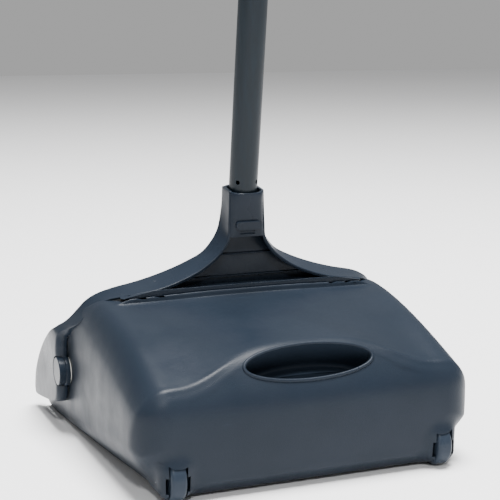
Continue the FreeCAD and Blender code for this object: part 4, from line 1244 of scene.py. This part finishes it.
# ------------------------------------------------------------------ studio
@dataclass
class Studio:
    """Pale floor, soft lights and the camera."""

    eye: tuple[float, float, float] = (-0.402, -1.0116, 0.3594)
    yaw_deg: float = -21.8
    pitch_deg: float = 79.9
    lens_mm: float = 91.27

    def lamp(self, name: str, place: tuple[float, float, float],
             aim: tuple[float, float, float], size: float, power: float) -> None:
        """Square area light at place, turned to aim."""
        light = bpy.data.lights.new(name, "AREA")
        light.energy = power
        light.size = size
        holder = bpy.data.objects.new(name, light)
        holder.location = place
        turn = (Vector(aim) - Vector(place)).to_track_quat("-Z", "Y")
        holder.rotation_euler = turn.to_euler()
        bpy.context.scene.collection.objects.link(holder)

    def build(self) -> None:
        """Make floor, lights, world and camera."""
        bench = Bench("studio_floor")
        colour = bench.mix(bench.noise(0.8, 2.0), (0.86, 0.86, 0.87), (0.90, 0.90, 0.90))
        bench.join(colour, bench.shader.inputs["Base Color"])
        bench.gloss("Roughness", 0.9)
        bench.gloss("Specular IOR Level", 0.2)
        mesh = MeshBench("floor")
        edge = np.linspace(-8.0, 8.0, 5)
        x, y = np.meshgrid(edge, edge)
        mesh.add_grid(np.stack([x, y, np.full_like(x, -0.0002)], axis=-1))
        floor = mesh.finish()
        dress(floor, bench.material)
        world = bpy.data.worlds.new("studio_world")
        bpy.context.scene.world = world
        world.use_nodes = True
        sky = world.node_tree.nodes["Background"]
        sky.inputs["Color"].default_value = (1.0, 1.0, 1.0, 1.0)
        sky.inputs["Strength"].default_value = 0.42
        self.lamp("overhead", (0.2, -0.2, 3.2), (0.0, 0.4, 0.0), 1.6, 420.0)
        self.lamp("key", (-0.7, -2.2, 1.9), (0.0, 0.0, 0.1), 0.25, 34.0)
        camera = bpy.data.cameras.new("camera")
        camera.lens = self.lens_mm
        camera.sensor_width = 36.0
        camera.clip_start = 0.05
        camera.clip_end = 60.0
        holder = bpy.data.objects.new("camera", camera)
        holder.location = self.eye
        holder.rotation_euler = Euler((math.radians(self.pitch_deg), 0.0,
                                       math.radians(self.yaw_deg)))
        bpy.context.scene.collection.objects.link(holder)
        bpy.context.scene.camera = holder


def main() -> None:
    """Build the dustpan's looks in order."""
    logging.basicConfig(level=logging.INFO, format="%(name)s: %(message)s")
    slate, slate_tint = (0.0088, 0.0132, 0.0205), (0.0105, 0.0154, 0.0235)
    pan_plastic = MouldedPlastic("pan_plastic", slate, slate_tint, 0.36).build()
    yoke_plastic = MouldedPlastic("yoke_plastic", slate, slate_tint, 0.28,
                                  grain_depth=0.00005, scuffs=0.15).build()
    wheel_plastic = MouldedPlastic("wheel_plastic", (0.016, 0.023, 0.034),
                                   (0.020, 0.027, 0.039), 0.30, grain_depth=0.00003).build()
    grip_plastic = MouldedPlastic("grip_plastic", (0.03, 0.036, 0.043), (0.036, 0.042, 0.05),
                                  0.55).build()
    tube_paint = PowderCoat("tube_paint", (0.0045, 0.0085, 0.0125)).build()
    spring_steel = PlatedSteel("spring_steel", (0.45, 0.46, 0.48)).build()
    bright_steel = PlatedSteel("bright_steel", (0.60, 0.61, 0.63)).build()
    nylon = MouldedPlastic("washer_nylon", (0.60, 0.60, 0.56), (0.64, 0.64, 0.60), 0.4).build()

    low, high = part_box("wheel_axle_right")
    wheel_line = (low[1] + high[1]) / 2
    Pan(wheel_line, pan_plastic).build()
    Yoke(wheel_line, yoke_plastic).build()
    finishes = {"handle_tube": tube_paint, "tube_plug": yoke_plastic,
                "lock_button": bright_steel, "button_spring": spring_steel,
                "hand_grip": grip_plastic, "end_cap": grip_plastic,
                "broom_clip": yoke_plastic, "clip_rivet": bright_steel,
                "blank_badge": yoke_plastic}
    paired = {"wheel": wheel_plastic, "wheel_axle": spring_steel, "pivot_pin": yoke_plastic,
              "pivot_washer": nylon, "pivot_retainer": spring_steel}
    for side in Side:
        finishes.update({f"{name}_{side.label}": paint for name, paint in paired.items()})
    for name, paint in finishes.items():
        dress_node(name, paint)
    Studio().build()


if __name__ == "__main__":
    main()
